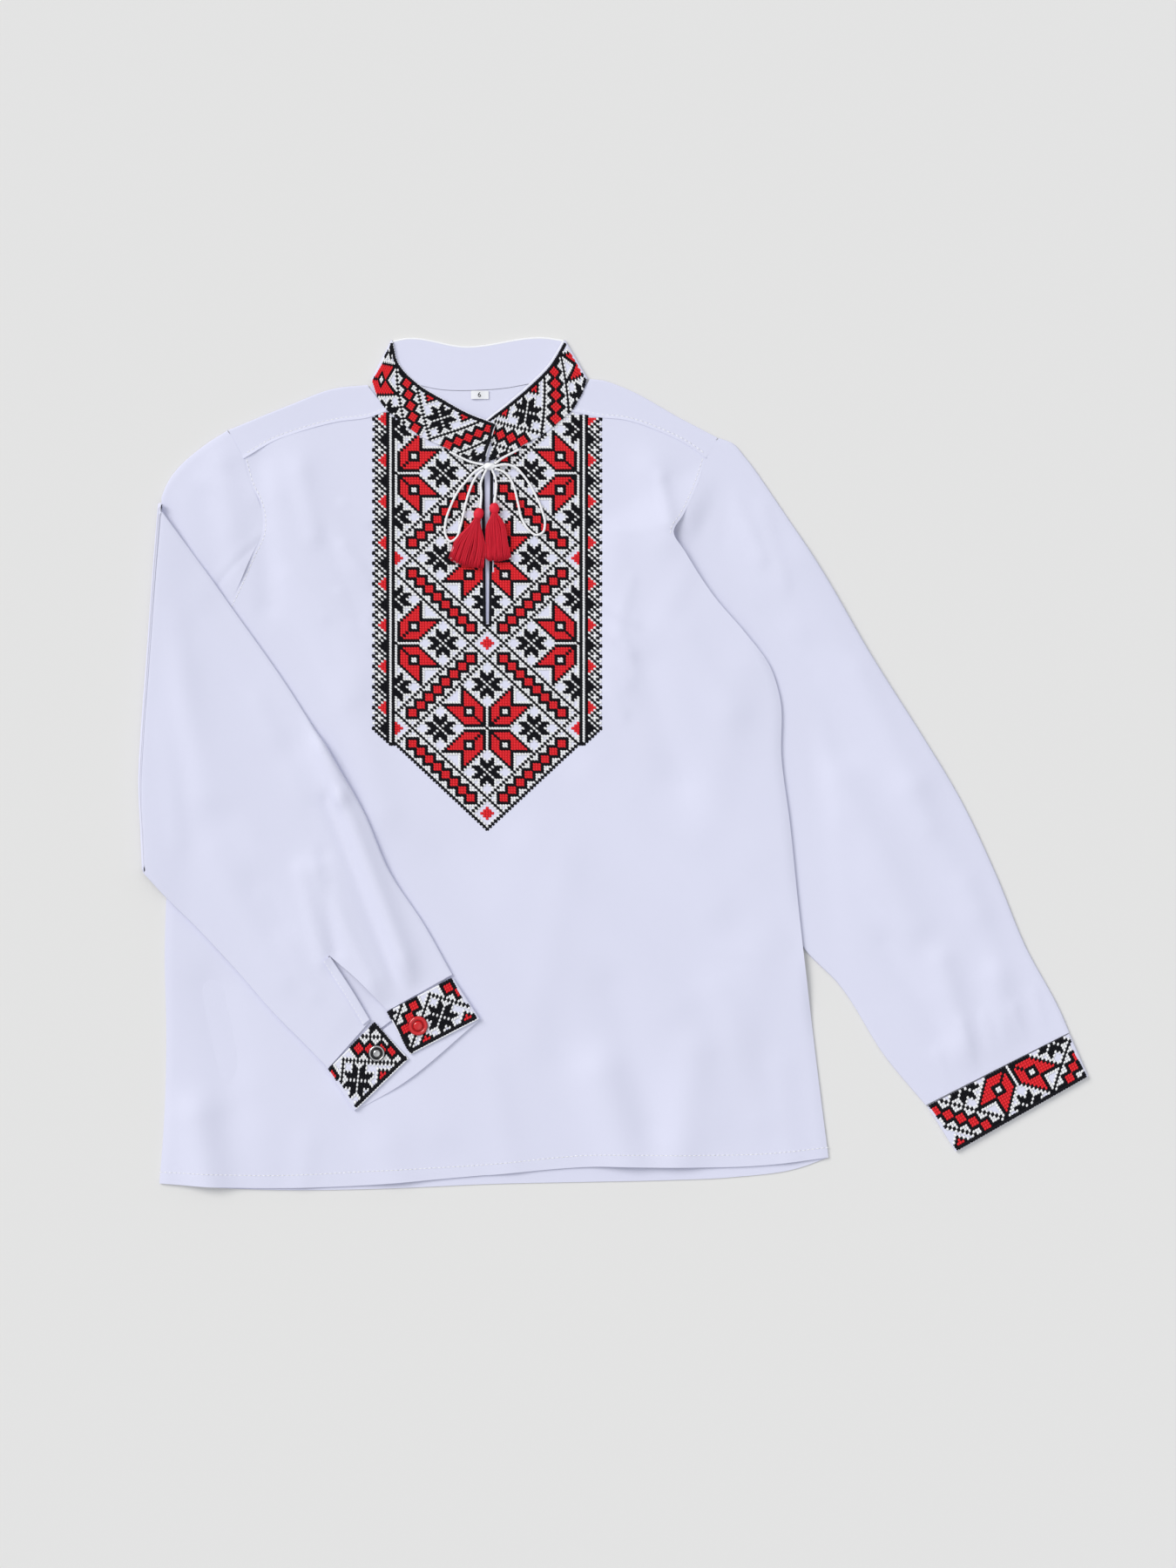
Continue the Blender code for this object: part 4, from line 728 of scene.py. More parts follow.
def make_yoke(name, front_seam, shoulder, back_seam):
    """Shoulder strip: up from its front seam, round the shoulder fold and down to its back seam."""
    cells = SHOULDER_CELLS * FINE_BAND
    front = aside(spread(front_seam, cells), -SEAM_LAP)
    fold = aside(spread(shoulder, cells), -SHEET_EDGE)
    back = aside(spread(back_seam, cells), GAP)
    outward = raised(aside(fold, 1.0) - fold, 0.0)
    shares = np.linspace(0.0, 1.0, YOKE_ROWS)
    lap = 0.45 * (1.0 - smoothstep(shares * 8.0))
    upper = [raised(front + (fold - front) * share, FRONT_Z + rise) for share, rise in zip(shares, lap)]
    turn = hairpin(raised(fold, FRONT_Z), raised(fold, BACK_Z), outward, BAND_TURN)
    lower = [raised(fold, BACK_Z), raised(back, BACK_Z)]
    mid = np.array(upper + turn + lower)
    lay_cloth(f"{name}_cloth", name, mid)


def make_yokes():
    make_yoke("yoke_left", YOKE_FRONT_LEFT, SHOULDER_LEFT, YOKE_BACK_LEFT)
    make_yoke("yoke_right", YOKE_FRONT_RIGHT, SHOULDER_RIGHT, YOKE_BACK_RIGHT)


def sleeve_right_mid():
    """Middle of the stretched sleeve: a Coons patch in plan, its upper layer puffed and creased."""
    coarse = body_stations(1)[-5:]
    rows = finer(coarse, FINE_SLEEVE)
    armhole = body_edge(BODY_RIGHT, rows)[::-1]
    top = spread([SHOULDER_POINT_RIGHT, tuple(armhole[0])], FINE_SLEEVE)
    hidden = spread([tuple(armhole[-1]), *HEAD_HIDDEN_RIGHT], 2 * FINE_SLEEVE)
    head = joined(top, armhole, hidden)
    seam_lift = tuck_height(head, TUCK_LIFT + FRONT_EXTRA_LIFT, TUCK_RUN + FRONT_EXTRA_RUN)
    seam_lift = seam_lift + fold_height(head, FRONT_FOLDS)
    places = np.arange(len(head)) / FINE_SLEEVE
    seam_lift *= 1.0 - smoothstep((places - 3.3) / 1.7)
    stations = np.linspace(0.0, 1.0, SLEEVE_RIGHT_ROWS)
    over = aside(curve(OVERARM_RIGHT, stations), -SHEET_EDGE)
    under = aside(curve(UNDERARM_RIGHT, stations), SHEET_EDGE)
    over[0] = head[0] + (CORNER_EASE, -SHEET_EDGE)
    under[0] = head[-1]
    head[0] = over[0]
    across = places / places[-1]
    wrist = over[-1] + across[:, None] * (under[-1] - over[-1])
    plan = patch(head, wrist, over, under, across, stations)
    puff = SLEEVE_PUFF * 4.0 * across * (1.0 - across)
    bloom = smoothstep(stations * 5.0) * smoothstep((1.0 - stations) * 14.0)
    free = smoothstep((plan[..., 0] - x_at(BODY_RIGHT, plan[..., 1]) - CLEAR_OF_BODY) / CLEAR_RUN)
    rise = bloom[:, None] * puff[None, :] + fold_height(plan, SLEEVE_RIGHT_FOLDS) * bloom[:, None]
    head_rise = seam_lift[None, :] * smoothstep(1.0 - stations * 20.0)[:, None]
    front_layer = raised(plan, FRONT_Z + rise * free + head_rise)
    back_layer = raised(plan, BACK_Z)
    mid = tube(front_layer, back_layer, edge_outward(over, 1.0), edge_outward(under, -1.0))
    return mid[:, ::-1]


def make_sleeve_right():
    """Stretched sleeve: a flattened tube from the armhole, under the body's edge, to its cuff."""
    lay_cloth("sleeve_right_cloth", "sleeve_right", sleeve_right_mid(), around=True)


def fold_line_x(heights):
    """x of the line that the folded sleeve turns about."""
    return x_at(FOLD_OUTSIDE[::-1], heights) + FOLD_AXIS_Z - BACK_Z + CLOTH / 2


def sleeve_left_mid():
    """Middle of the folded sleeve: a tube to the fold line, half a turn about it, a tube over the body."""
    rows = finer(body_stations(1)[-(ARMHOLE_ROWS + 1) :], FINE_FOLDED)
    armhole = body_edge(BODY_LEFT, rows)[::-1]
    head = joined(spread([SHOULDER_POINT_LEFT, tuple(armhole[0])], FINE_FOLDED), armhole)
    head[-1] = UNDERARM_LEFT[0]
    count = len(head)
    plain_t = np.linspace(0.0, 1.0, count)
    half_slit = PLACKET_START_WIDTH_T / 2
    slit_at = count // 2
    slit_t = np.insert(plain_t, slit_at, [0.5 - half_slit, 0.5 + half_slit])
    fold_top = FOLD_OUTSIDE[0][1] - SHEET_EDGE
    fold_bottom = FOLD_OUTSIDE[-1][1] + SHEET_EDGE

    def fold_points(t):
        """Points of the fold line at shares of its length."""
        heights = fold_top + (fold_bottom - fold_top) * t
        return np.stack([fold_line_x(heights), heights], axis=-1)

    corners = fold_points(np.array([0.0, 1.0]))

    def before_fold(t):
        """Plan and lift of the cloth between the armhole and the fold line."""
        stations = np.linspace(0.0, 1.0, CAP_ROWS)
        over = aside(curve(OVERARM_LEFT, stations), SHEET_EDGE)
        under = aside(curve(UNDERARM_LEFT, stations), -GAP)
        head_t = np.column_stack([np.interp(t, plain_t, head[:, k]) for k in range(2)])
        head_t[0] = head[0] + (-CORNER_EASE, -SHEET_EDGE)
        over[0], under[0] = head_t[0], head_t[-1]
        over[-1], under[-1] = corners
        head_lift = fold_height(head_t, FRONT_FOLDS)
        plan = patch(head_t, fold_points(t), over, under, t, stations)
        lift = (1.0 - smoothstep(stations * 1.1))[:, None] * head_lift[None, :]
        return plan, lift + fold_height(plan, CAP_FOLDS)

    def after_fold(t_rows, wrist, stations):
        """Plan past the fold line, a Coons patch whose columns may drift along it."""
        over = aside(curve(OVERARM_BACK, stations), -SHEET_EDGE)
        under = aside(curve(UNDERARM_BACK, stations), SHEET_EDGE)
        over[0], under[0] = corners
        over[-1], under[-1] = wrist[0, 1:], wrist[-1, 1:]
        t = t_rows[..., None]
        s = stations[:, None, None]
        wrist_points = np.stack([np.interp(t_rows, wrist[:, 0], wrist[:, k]) for k in (1, 2)], axis=-1)
        rows_part = (1.0 - s) * fold_points(t_rows) + s * wrist_points
        columns_part = (1.0 - t) * over[:, None] + t * under[:, None]
        ends = (1.0 - s) * ((1.0 - t) * corners[0] + t * corners[1])
        return rows_part + columns_part - ends - s * ((1.0 - t) * wrist[0, 1:] + t * wrist[-1, 1:])

    def round_fold(t, height, angle):
        """Points a layer's reach from the fold's axis, turned about it by an angle."""
        plan = fold_points(t)
        reach = FOLD_AXIS_Z - height
        z = np.full(len(t), FOLD_AXIS_Z - reach * math.cos(angle))
        return np.column_stack([plan[:, 0] - reach * math.sin(angle), plan[:, 1], z])

    after = np.linspace(0.0, 1.0, AFTER_FOLD_ROWS)
    over_end = (OVERARM_BACK[-1][0] - 0.9, OVERARM_BACK[-1][1] - 0.6)
    under_end = (UNDERARM_BACK[-1][0] + 0.9, UNDERARM_BACK[-1][1] + 0.4)
    straight = np.array([(0.0, *over_end), (1.0, *under_end)])
    upper_end = (PLACKET_UPPER_T, *PLACKET_UPPER)
    lower_end = (PLACKET_LOWER_T, *PLACKET_LOWER)
    split = np.array([(0.0, *over_end), upper_end, lower_end, (1.0, *under_end)])
    opening = np.clip((after - PLACKET_TIP_S) / (1.0 - PLACKET_TIP_S), 0.0, 1.0)
    drift = smoothstep(after / PLACKET_TIP_S)
    centre = 0.5 + (PLACKET_TIP_T - 0.5) * drift
    upper_t = centre - half_slit + (PLACKET_UPPER_T - PLACKET_TIP_T + half_slit) * opening
    lower_t = centre + half_slit + (PLACKET_LOWER_T - PLACKET_TIP_T - half_slit) * opening
    above = np.linspace(0.0, 1.0, slit_at + 1)
    below = np.linspace(0.0, 1.0, count - slit_at + 1)
    upper_part = upper_t[:, None] * above
    lower_part = lower_t[:, None] + (1.0 - lower_t[:, None]) * below
    shifted = np.concatenate([upper_part, lower_part], axis=1)
    back_t = slit_t + (shifted - slit_t) * drift[:, None]
    front_t = np.broadcast_to(plain_t, (len(after), count))

    turn_angles = [math.pi * step / (FOLD_TURNS + 1) for step in range(1, FOLD_TURNS + 1)]
    laid_front = after_fold(front_t, straight, after)
    laid_back = after_fold(back_t, split, after)
    past_front = smoothstep((laid_front[..., 0] - fold_line_x(laid_front[..., 1])) / SAG_RUN)
    past_back = smoothstep((laid_back[..., 0] - fold_line_x(laid_back[..., 1])) / SAG_RUN)
    puff = SLEEVE_PUFF * 4.0 * back_t * (1.0 - back_t) + fold_height(laid_back, SLEEVE_LEFT_FOLDS)
    calm = smoothstep(after * 6.0) * smoothstep((1.0 - after) * 12.0)
    front_z = 2 * FOLD_AXIS_Z - FRONT_Z - SAG * past_front
    back_z = 2 * FOLD_AXIS_Z - BACK_Z - SAG * past_back + puff * calm[:, None]
    cap_plan, cap_lift = before_fold(plain_t)
    cap_lift *= smoothstep((cap_plan[..., 0] - fold_line_x(cap_plan[..., 1])) / SAG_RUN)
    outer_turn = np.array([round_fold(plain_t, FRONT_Z, angle) for angle in turn_angles])
    inner_turn = np.array([round_fold(slit_t, BACK_Z, angle) for angle in turn_angles])
    outer_cap, inner_cap = raised(cap_plan, FRONT_Z + cap_lift), raised(before_fold(slit_t)[0], BACK_Z)
    front_layer = np.concatenate([outer_cap, outer_turn, raised(laid_front, front_z)])
    back_layer = np.concatenate([inner_cap, inner_turn, raised(laid_back, back_z)])
    before = CAP_ROWS + FOLD_TURNS
    up = np.tile((0.0, 1.0, 0.0), (before, 1))
    out_over = np.vstack([up, edge_outward(laid_front[:, 0], 1.0)])
    out_under = np.vstack([-up, edge_outward(laid_front[:, -1], -1.0)])
    mid = tube(front_layer, back_layer, out_over, out_under)
    keep = np.ones((mid.shape[0] - 1, mid.shape[1]), bool)
    slit_cell = count + TUBE_TURN + (len(slit_t) - 2 - slit_at)
    opened = np.flatnonzero(after >= PLACKET_TIP_S)[0] + before
    keep[opened:, slit_cell] = False
    return mid, keep


def make_sleeve_left():
    """Folded sleeve with its open wrist slit."""
    mid, keep = sleeve_left_mid()
    lay_cloth("sleeve_left_cloth", "sleeve_left", mid, around=True, keep=keep)


def binding_height(plan):
    """Height of the wrist binding's middle: the sleeve's folds and puff, flattened towards the cuff."""
    from_cuff = np.linalg.norm(plan - np.array(BINDING_RIGHT[-1]), axis=-1)
    calm = smoothstep(from_cuff / 30.0)
    return LAID_Z + LAYER + CLOTH + (fold_height(plan, SLEEVE_LEFT_FOLDS) + SLEEVE_PUFF) * calm


PLACKET_SHELL = 0.0005
PLACKET_HALF = 0.35


def make_placket():
    """Binding strip folded in two along the edge of the wrist slit, its open edges rolled down a little."""
    left, right = spread(BINDING_LEFT, 30), spread(BINDING_RIGHT, 30)
    share = np.linspace(0.0, 1.0, 9)
    plan = left[:, None] + (right - left)[:, None] * share[None, :, None]
    roll = 0.3 * (1.0 - share) ** 4
    upper = raised(plan, binding_height(plan) + PLACKET_HALF - roll[None, :])
    lower = raised(plan, binding_height(plan) - PLACKET_HALF - roll[None, :])
    outward = raised(unit(right - left), 0.0)
    turn = np.stack(hairpin(upper[:, -1], lower[:, -1], outward, TUBE_TURN), axis=1)
    mid = np.concatenate([upper, turn, lower[:, ::-1]], axis=1)
    lay_cloth("placket_left_cloth", "placket_left", mid[::-1], thickness=PLACKET_SHELL)


# Stiff bands: each part is its seam edge, its free edge and its height


def pulled_in(table, first, last):
    """Band table with an end drawn in along the band to leave room for the turn."""
    rows = np.array(table)
    if first:
        step = rows[1] - rows[0]
        rows[0] += step / np.linalg.norm(step[:2]) * STIFF_EDGE
    if last:
        step = rows[-2] - rows[-1]
        rows[-1] += step / np.linalg.norm(step[:2]) * STIFF_EDGE
    return rows


def band_part(table, height, cells):
    table = np.array(table)
    seam, free = spread(table[:, :2], cells), spread(table[:, 2:], cells)
    return seam, free, np.full(len(seam), height)


def collar_parts():
    """Front left, back and front right of the collar, the left end rising over the right one."""
    times = FINE_BAND
    low_z = STIFF / 2
    over_z = low_z + STIFF + GAP
    left_seam = joined(spread(NECK_FRONT_LEFT, NECK_CELLS * times)[::-1], spread(NECK_YOKE_LEFT, 2 * times))
    right_seam = joined(spread(NECK_FRONT_RIGHT, NECK_CELLS * times), spread(NECK_YOKE_RIGHT, 2 * times))
    right_seam = joined(spread([COLLAR_END_RIGHT, tuple(right_seam[0])], times), right_seam)[::-1]
    back_seam = spread(NECK_BACK, NECK_CELLS * times)
    left_free = spread(COLLAR_TOP_LEFT, len(left_seam) - 1)
    right_free = spread(COLLAR_TOP_RIGHT, len(right_seam) - 1)[::-1]
    back_free = spread(COLLAR_TOP_BACK, NECK_CELLS * times)
    crossing = np.clip(np.arange(len(left_seam)) / (3.0 * times) - 0.34, 0.0, 1.0)
    left_z = over_z + (STIFF + GAP) * (1.0 - smoothstep(crossing))
    return [
        (left_seam, left_free, left_z),
        (back_seam, back_free, np.full(len(back_seam), low_z)),
        (right_seam, right_free, np.full(len(right_seam), over_z)),
    ]


def cuff_right_parts():
    shut = pulled_in(CUFF_RIGHT, True, True)
    low_z = STIFF / 2
    cells = (CUFF_CELLS + 3) * FINE_BAND
    return [band_part(shut, low_z + STIFF + GAP, cells), band_part(shut[::-1], low_z, cells)]


def cuff_left_parts():
    under_z = FRONT_Z + CLOTH / 2 + GAP + STIFF / 2
    flap_z = under_z + STIFF + GAP
    cells = CUFF_CELLS * FINE_BAND
    return [
        band_part(pulled_in(CUFF_LEFT_UPPER, False, True), flap_z, cells),
        band_part(pulled_in(CUFF_LEFT_BACK, True, True), under_z, cells),
        band_part(pulled_in(CUFF_LEFT_LOWER, True, False), flap_z, cells),
    ]


def make_band(name, parts, closed=False):
    """Stiff band: lines from seam to free edge at each station, with half turns between its flat parts."""
    share = np.linspace(0.0, 1.0, BAND_ROWS)[None, :, None]
    grids = []
    for seam, free, heights in parts:
        low, high = raised(seam, heights)[:, None], raised(free, heights)[:, None]
        grids.append(low + (high - low) * share)
    lines = []
    for index, grid in enumerate(grids):
        lines.extend(grid)
        if index == len(grids) - 1 and not closed:
            break
        leaving = grid[-1] - grid[-2]
        leaving[:, 2] = 0.0
        lines.extend(hairpin(grid[-1], grids[(index + 1) % len(grids)][0], unit(leaving), BAND_TURN))
    mid = np.array(lines).transpose(1, 0, 2)
    lay_cloth(f"{name}_cloth", name, mid, sizes().band_shell, closed)


# Cross-stitch

BARE, WHITE, BLACK, RED = range(4)
STAR_STEP = 33
BAND_STEP = 36
BAND_STAR_ROW = 11
BIB_COLUMNS = 83
BIB_CENTRE = 41
BIB_TOP_ROW = 124
BIB_ROW_ZERO_Y = 22.97
BIB_CENTRE_X = -82.4
STAR_MOTIF = 17
BIB_LOW_ROW = -39
BIB_LINE = 27
BAND_LINES = (26, 38)
BAND_CHAIN = 33
TRIANGLE_ASIDE = 8

# A stitch's share of its cell, then its legs: their half width, hip and lower height as shares, lifts in mm
STITCH_FILL = {"white": 0.9, "black": 1.2, "red": 0.9}
STITCH_WOBBLE = 0.045
LEG_HALF_WIDTH = 0.33
LEG_HIP = 0.28
UNDER_LEG = 0.75
OVER_LEG_LIFT = 0.1
# Lift of the painted shadow sheet under the red stitches, in mm
RED_SHADOW_LIFT = 0.04


def black_star(code, p, q):
    """Small eight-pointed black star with a white cross, at p columns and q rows from its centre."""
    point = ((q == 5) & (p == 2)) | ((q == 4) & (p >= 1) & (p <= 2)) | ((q == 3) & (p <= 2))
    middle = ((q == 2) & (p <= 5)) | ((q == 1) & (p <= 4)) | ((q == 0) & (p <= 3))
    code[point | middle] = BLACK
    code[((q == 2) & (p == 2)) | ((q == 1) & (p == 1)) | ((q == 0) & (p == 0))] = WHITE


def red_chain(code, a, b, total, first, last):
    """Red squares of three by three ringed in black, in steps of three along a + b = total."""
    for k in range(first, last):
        reach = np.maximum(np.abs(a - 3 * k), np.abs(b - total + 3 * k))
        code[(reach == 2) & (code != RED)] = BLACK
        code[reach <= 1] = RED


def red_star(code, a, b):
    """Quarter of a four-part star of eight red petals, at a columns and b rows from its centre."""
    petal = (a >= 2) & (b >= 2) & (a < b + 7) & (b < a + 7) & ~((a >= 9) & (b >= 9)) & (a <= 16) & (b <= 16)
    code[petal] = RED
    sloped = ((b == a + 7) & (a >= 1) & (a <= 9)) | ((a == b + 7) & (b >= 1) & (b <= 9))
    notch = ((a == 9) & (b >= 9) & (b <= 16)) | ((b == 9) & (a >= 9) & (a <= 16))
    spine = ((a == 1) & (b >= 1) & (b <= 8)) | ((b == 1) & (a >= 1) & (a <= 8)) | ((a == b) & (a <= 4))
    ring = (np.minimum(a, b) >= 5) & (np.maximum(a, b) <= 8)
    code[sloped | notch | spine | ring] = BLACK
    code[(np.minimum(a, b) >= 6) & (np.maximum(a, b) <= 7)] = WHITE
    code[((a == 0) & (b >= 1) & (b <= 8)) | ((b == 0) & (a >= 1) & (a <= 8))] = WHITE


def bib_stars(x, y):
    """Bib's endless pattern: diamonds on a lattice of red stars, with a black star on each side of a red one.

    Along a diamond's edge runs the chain of red squares with a black line inside it.
    """
    a = np.abs(np.mod(x + STAR_STEP, 2 * STAR_STEP) - STAR_STEP)
    b = np.abs(np.mod(y + STAR_STEP, 2 * STAR_STEP) - STAR_STEP)
    far = a + b > STAR_STEP
    a, b = np.where(far, STAR_STEP - a, a), np.where(far, STAR_STEP - b, b)
    code = np.full(a.shape, BARE)
    code[a + b == BIB_LINE] = BLACK
    red_chain(code, a, b, STAR_STEP, 2, 10)
    node = np.minimum(a + np.abs(b - STAR_STEP), np.abs(a - STAR_STEP) + b)
    code[node == 6] = BLACK
    code[node <= 2] = RED
    black_star(code, a, np.abs(b - STAR_MOTIF))
    black_star(code, np.abs(a - STAR_MOTIF), b)
    red_star(code, a, b)
    return code


def band_stars(x, y):
    """Pattern of collar and cuffs: half red stars in a row, and between them a black star over the chain's V.

    Small red triangles point down beside the black star from the band's free edge.
    """
    a = np.abs(np.mod(x + BAND_STEP, 2 * BAND_STEP) - BAND_STEP)
    b = np.abs(y)
    code = np.full(a.shape, BARE)
    code[np.isin(a + b, BAND_LINES)] = BLACK
    red_chain(code, a + 1, b, BAND_CHAIN, 2, 11)
    black_star(code, np.abs(a - STAR_MOTIF), b)
    black_star(code, a, np.abs(b - STAR_MOTIF))
    red_star(code, a, b)
    black_star(code, BAND_STEP - a, np.abs(b - BAND_STAR_ROW))
    beside = np.abs(BAND_STEP - a - TRIANGLE_ASIDE)
    code[(b >= BAND_STAR_ROW + 3) & (beside == b - BAND_STAR_ROW - 3)] = BLACK
    code[(b >= BAND_STAR_ROW + 4) & (beside <= b - BAND_STAR_ROW - 4)] = RED
    return code


def with_white(stars, dx, dy):
    """Pattern with a white stitch wherever a bare place lies beside a black stitch."""
    code = stars(dx, dy)
    beside = np.zeros(code.shape, bool)
    for sx, sy in ((1, 0), (-1, 0), (0, 1), (0, -1)):
        beside |= stars(dx + sx, dy + sy) == BLACK
    return np.where((code == BARE) & beside, WHITE, code)


def border_pattern(column, row):
    """Bib's side border: triangles in black and red by turns inside a zigzag, then upright lines."""
    turn = np.round(row / 8.0).astype(int)
    rise = np.abs(row - 8 * turn)
    code = np.full(column.shape, WHITE)
    code[(column == 0) & (rise % 2 == 1)] = BARE
    code[((column + rise) % 4 == 0) | ((column - rise) % 4 == 0)] = BLACK
    code[rise == column - 1] = WHITE
    fill = np.where(turn % 2 == 0, BLACK, RED)
    code = np.where((rise <= column - 2) & (column <= 4), fill, code)
    code = np.where((column == 5) | (column == 7), BLACK, code)
    return np.where(column == 6, WHITE, code)


def bib_chart():
    """Columns, rows and colours of the bib's stitches, its lower edge a wide V."""
    column, row = np.meshgrid(np.arange(BIB_COLUMNS), np.arange(BIB_LOW_ROW, BIB_TOP_ROW))
    column, row = column.ravel(), row.ravel()
    dx = column - BIB_CENTRE
    inward = np.minimum(column, BIB_COLUMNS - 1 - column)
    code = np.where(inward > 7, with_white(bib_stars, dx, row), border_pattern(inward, row))
    code = np.where((inward == 8) & (code == BARE), WHITE, code)
    lowest = np.where(inward < 6, -inward, np.where(inward <= 8, -6, np.abs(dx) + BIB_LOW_ROW))
    code = np.where((inward <= 8) & (row <= lowest), BLACK, code)
    shown = (row >= lowest) & (code != BARE)
    return column[shown], row[shown], code[shown]


def leg(start, end, normal, half_width, height):
    """Stitch leg as a low hipped roof: four base corners and a ridge of two, for every stitch at once."""
    run = end - start
    side = np.cross(normal, run)
    side *= (half_width / np.linalg.norm(side, axis=1))[:, None]
    ridge_start = start + LEG_HIP * run + normal * height
    ridge_end = end - LEG_HIP * run + normal * height
    return np.stack([start - side, end - side, end + side, start + side, ridge_start, ridge_end], axis=1)


LEG_FACES = np.array([(0, 1, 5), (0, 5, 4), (1, 2, 5), (2, 3, 4), (2, 4, 5), (3, 0, 4), (0, 3, 2), (0, 2, 1)])


def leg_mesh(name, legs, material):
    """One mesh of many legs."""
    count = len(legs)
    faces = (LEG_FACES[None] + 6 * np.arange(count)[:, None, None]).reshape(-1, 3)
    return put_mesh(name, legs.reshape(-1, 3), faces, material, smooth=False)


def cross_stitches(name, corners, codes):
    """Crossed legs in every cell, one mesh for each thread, the second leg lying over the first.

    A cell's normal is the cross product of its diagonals. Under the red stitches lies a flat dark red sheet
    of painted shadow, which shows in the gaps between them.
    """
    height = sizes().stitch_height / MM
    normals = unit(cell_cross(corners))
    if normals[:, 2].mean() < 0:
        normals = -normals
    wobble = np.random.default_rng(len(corners)).normal(0.0, STITCH_WOBBLE, corners.shape)
    wobble[..., 2] = 0.0
    centres = corners.mean(axis=1, keepdims=True)
    reach = corners - centres
    for kind, code in (("white", WHITE), ("black", BLACK), ("red", RED)):
        chosen = codes == code
        if not chosen.any():
            continue
        cell, up = (centres + reach * STITCH_FILL[kind] + wobble)[chosen], normals[chosen]
        if kind == "red":
            # Painted shadow: a dark red sheet a cell wide under each red stitch, standing in for the shade
            # between the threads
            base = (centres + reach)[chosen] + RED_SHADOW_LIFT * up[:, None]
            shade = material_of("red thread shade", (0.46, 0.006, 0.010), Roughness=0.8)
            quads = np.arange(4 * len(base)).reshape(-1, 4)
            faces = quads[:, [[0, 1, 2], [0, 2, 3]]].reshape(-1, 3)
            put_mesh(f"{name}_red_base", base.reshape(-1, 3), faces, shade)
        width = LEG_HALF_WIDTH * np.linalg.norm(cell[:, 1] - cell[:, 0], axis=1)
        lift = OVER_LEG_LIFT * up
        lower = leg(cell[:, 0], cell[:, 2], up, width, UNDER_LEG * height)
        upper = leg(cell[:, 1] + lift, cell[:, 3] + lift, up, width, height)
        leg_mesh(f"{name}_{kind}", np.concatenate([lower, upper]), thread(kind))


def neck_line_y(x):
    """y of the front panel's top edge, along the strips' seams and the neck."""
    left = joined(spread(YOKE_FRONT_LEFT, 40), spread(NECK_FRONT_LEFT, 40))
    right = joined(spread(NECK_FRONT_RIGHT, 40), spread(YOKE_FRONT_RIGHT, 40))
    edge = np.vstack([left, right])
    return np.interp(x, edge[:, 0], edge[:, 1])


def slit_half(y, end_y):
    """Half the slit's width at a height above its closed end."""
    opened = np.clip((y - end_y) / (SLIT_TOP_Y - end_y), 0.0, 1.0)
    return (SLIT_END_WIDTH + (SLIT_TOP_WIDTH - SLIT_END_WIDTH) * opened) / 2


SLIT_BOX_Y = 90.2
SLIT_TRIM = 2.3
SLIT_END_TRIM = 3.4


def make_bib():
    """Bib's stitches on the front panel, each cell's corners lifted onto the cloth's height."""
    column, row, code = bib_chart()
    pitch, rise = sizes().stitch_pitch / MM, sizes().row_pitch / MM
    x = BIB_CENTRE_X + (column - BIB_CENTRE) * pitch
    y = BIB_ROW_ZERO_Y + row * rise
    slit_end = body_edge(BODY_LEFT, [UNDERARM_V])[0, 1]
    near = np.abs(x - SLIT_X) < slit_half(y, SLIT_BOX_Y) + SLIT_TRIM
    beside_slit = near & (y > slit_end - SLIT_END_TRIM)
    shown = (y + rise / 2 < neck_line_y(x) - 0.4) & ~beside_slit
    x, y, code = x[shown], y[shown], code[shown]
    corner = np.array([(-0.5, -0.5), (0.5, -0.5), (0.5, 0.5), (-0.5, 0.5)]) * (pitch, rise)
    plan = np.stack([x, y], axis=1)[:, None] + corner[None]
    cross_stitches("bib_stitches", raised(plan, front_height(plan) + sizes().shell / MM / 2), code)


def on_band(part, along, up, proud):
    """Point of a band at a distance from its start and a share of the way from its seam to its free edge."""
    seam, free, heights = part
    length = travelled((seam + free) / 2)
    low = np.stack([np.interp(along, length, seam[:, k]) for k in range(2)], axis=-1)
    high = np.stack([np.interp(along, length, free[:, k]) for k in range(2)], axis=-1)
    plan = low + (high - low) * np.asarray(up)[..., None]
    return raised(plan, np.interp(along, length, heights) + proud)


def band_length(part):
    middle = (part[0] + part[1]) / 2
    return np.linalg.norm(np.diff(middle, axis=0), axis=1).sum()


# Charts of the bands: columns, column of a black star, lean in mm to a row, first row of the pattern, rows,
# and how many black columns start and end the band
BAND_CHARTS = {
    "collar_left": (56, 22, -0.175, 2, 16, (1, 0)),
    "collar_right": (48, 24, 0.79, 2, 16, (0, 0)),
    "cuff_upper": (26, 16, -0.14, 1, 17, (1, 0)),
    "cuff_lower": (24, 6, -0.07, 1, 17, (0, 1)),
    "cuff_right": (53, 65, 0.12, 1, 17, (0, 0)),
}


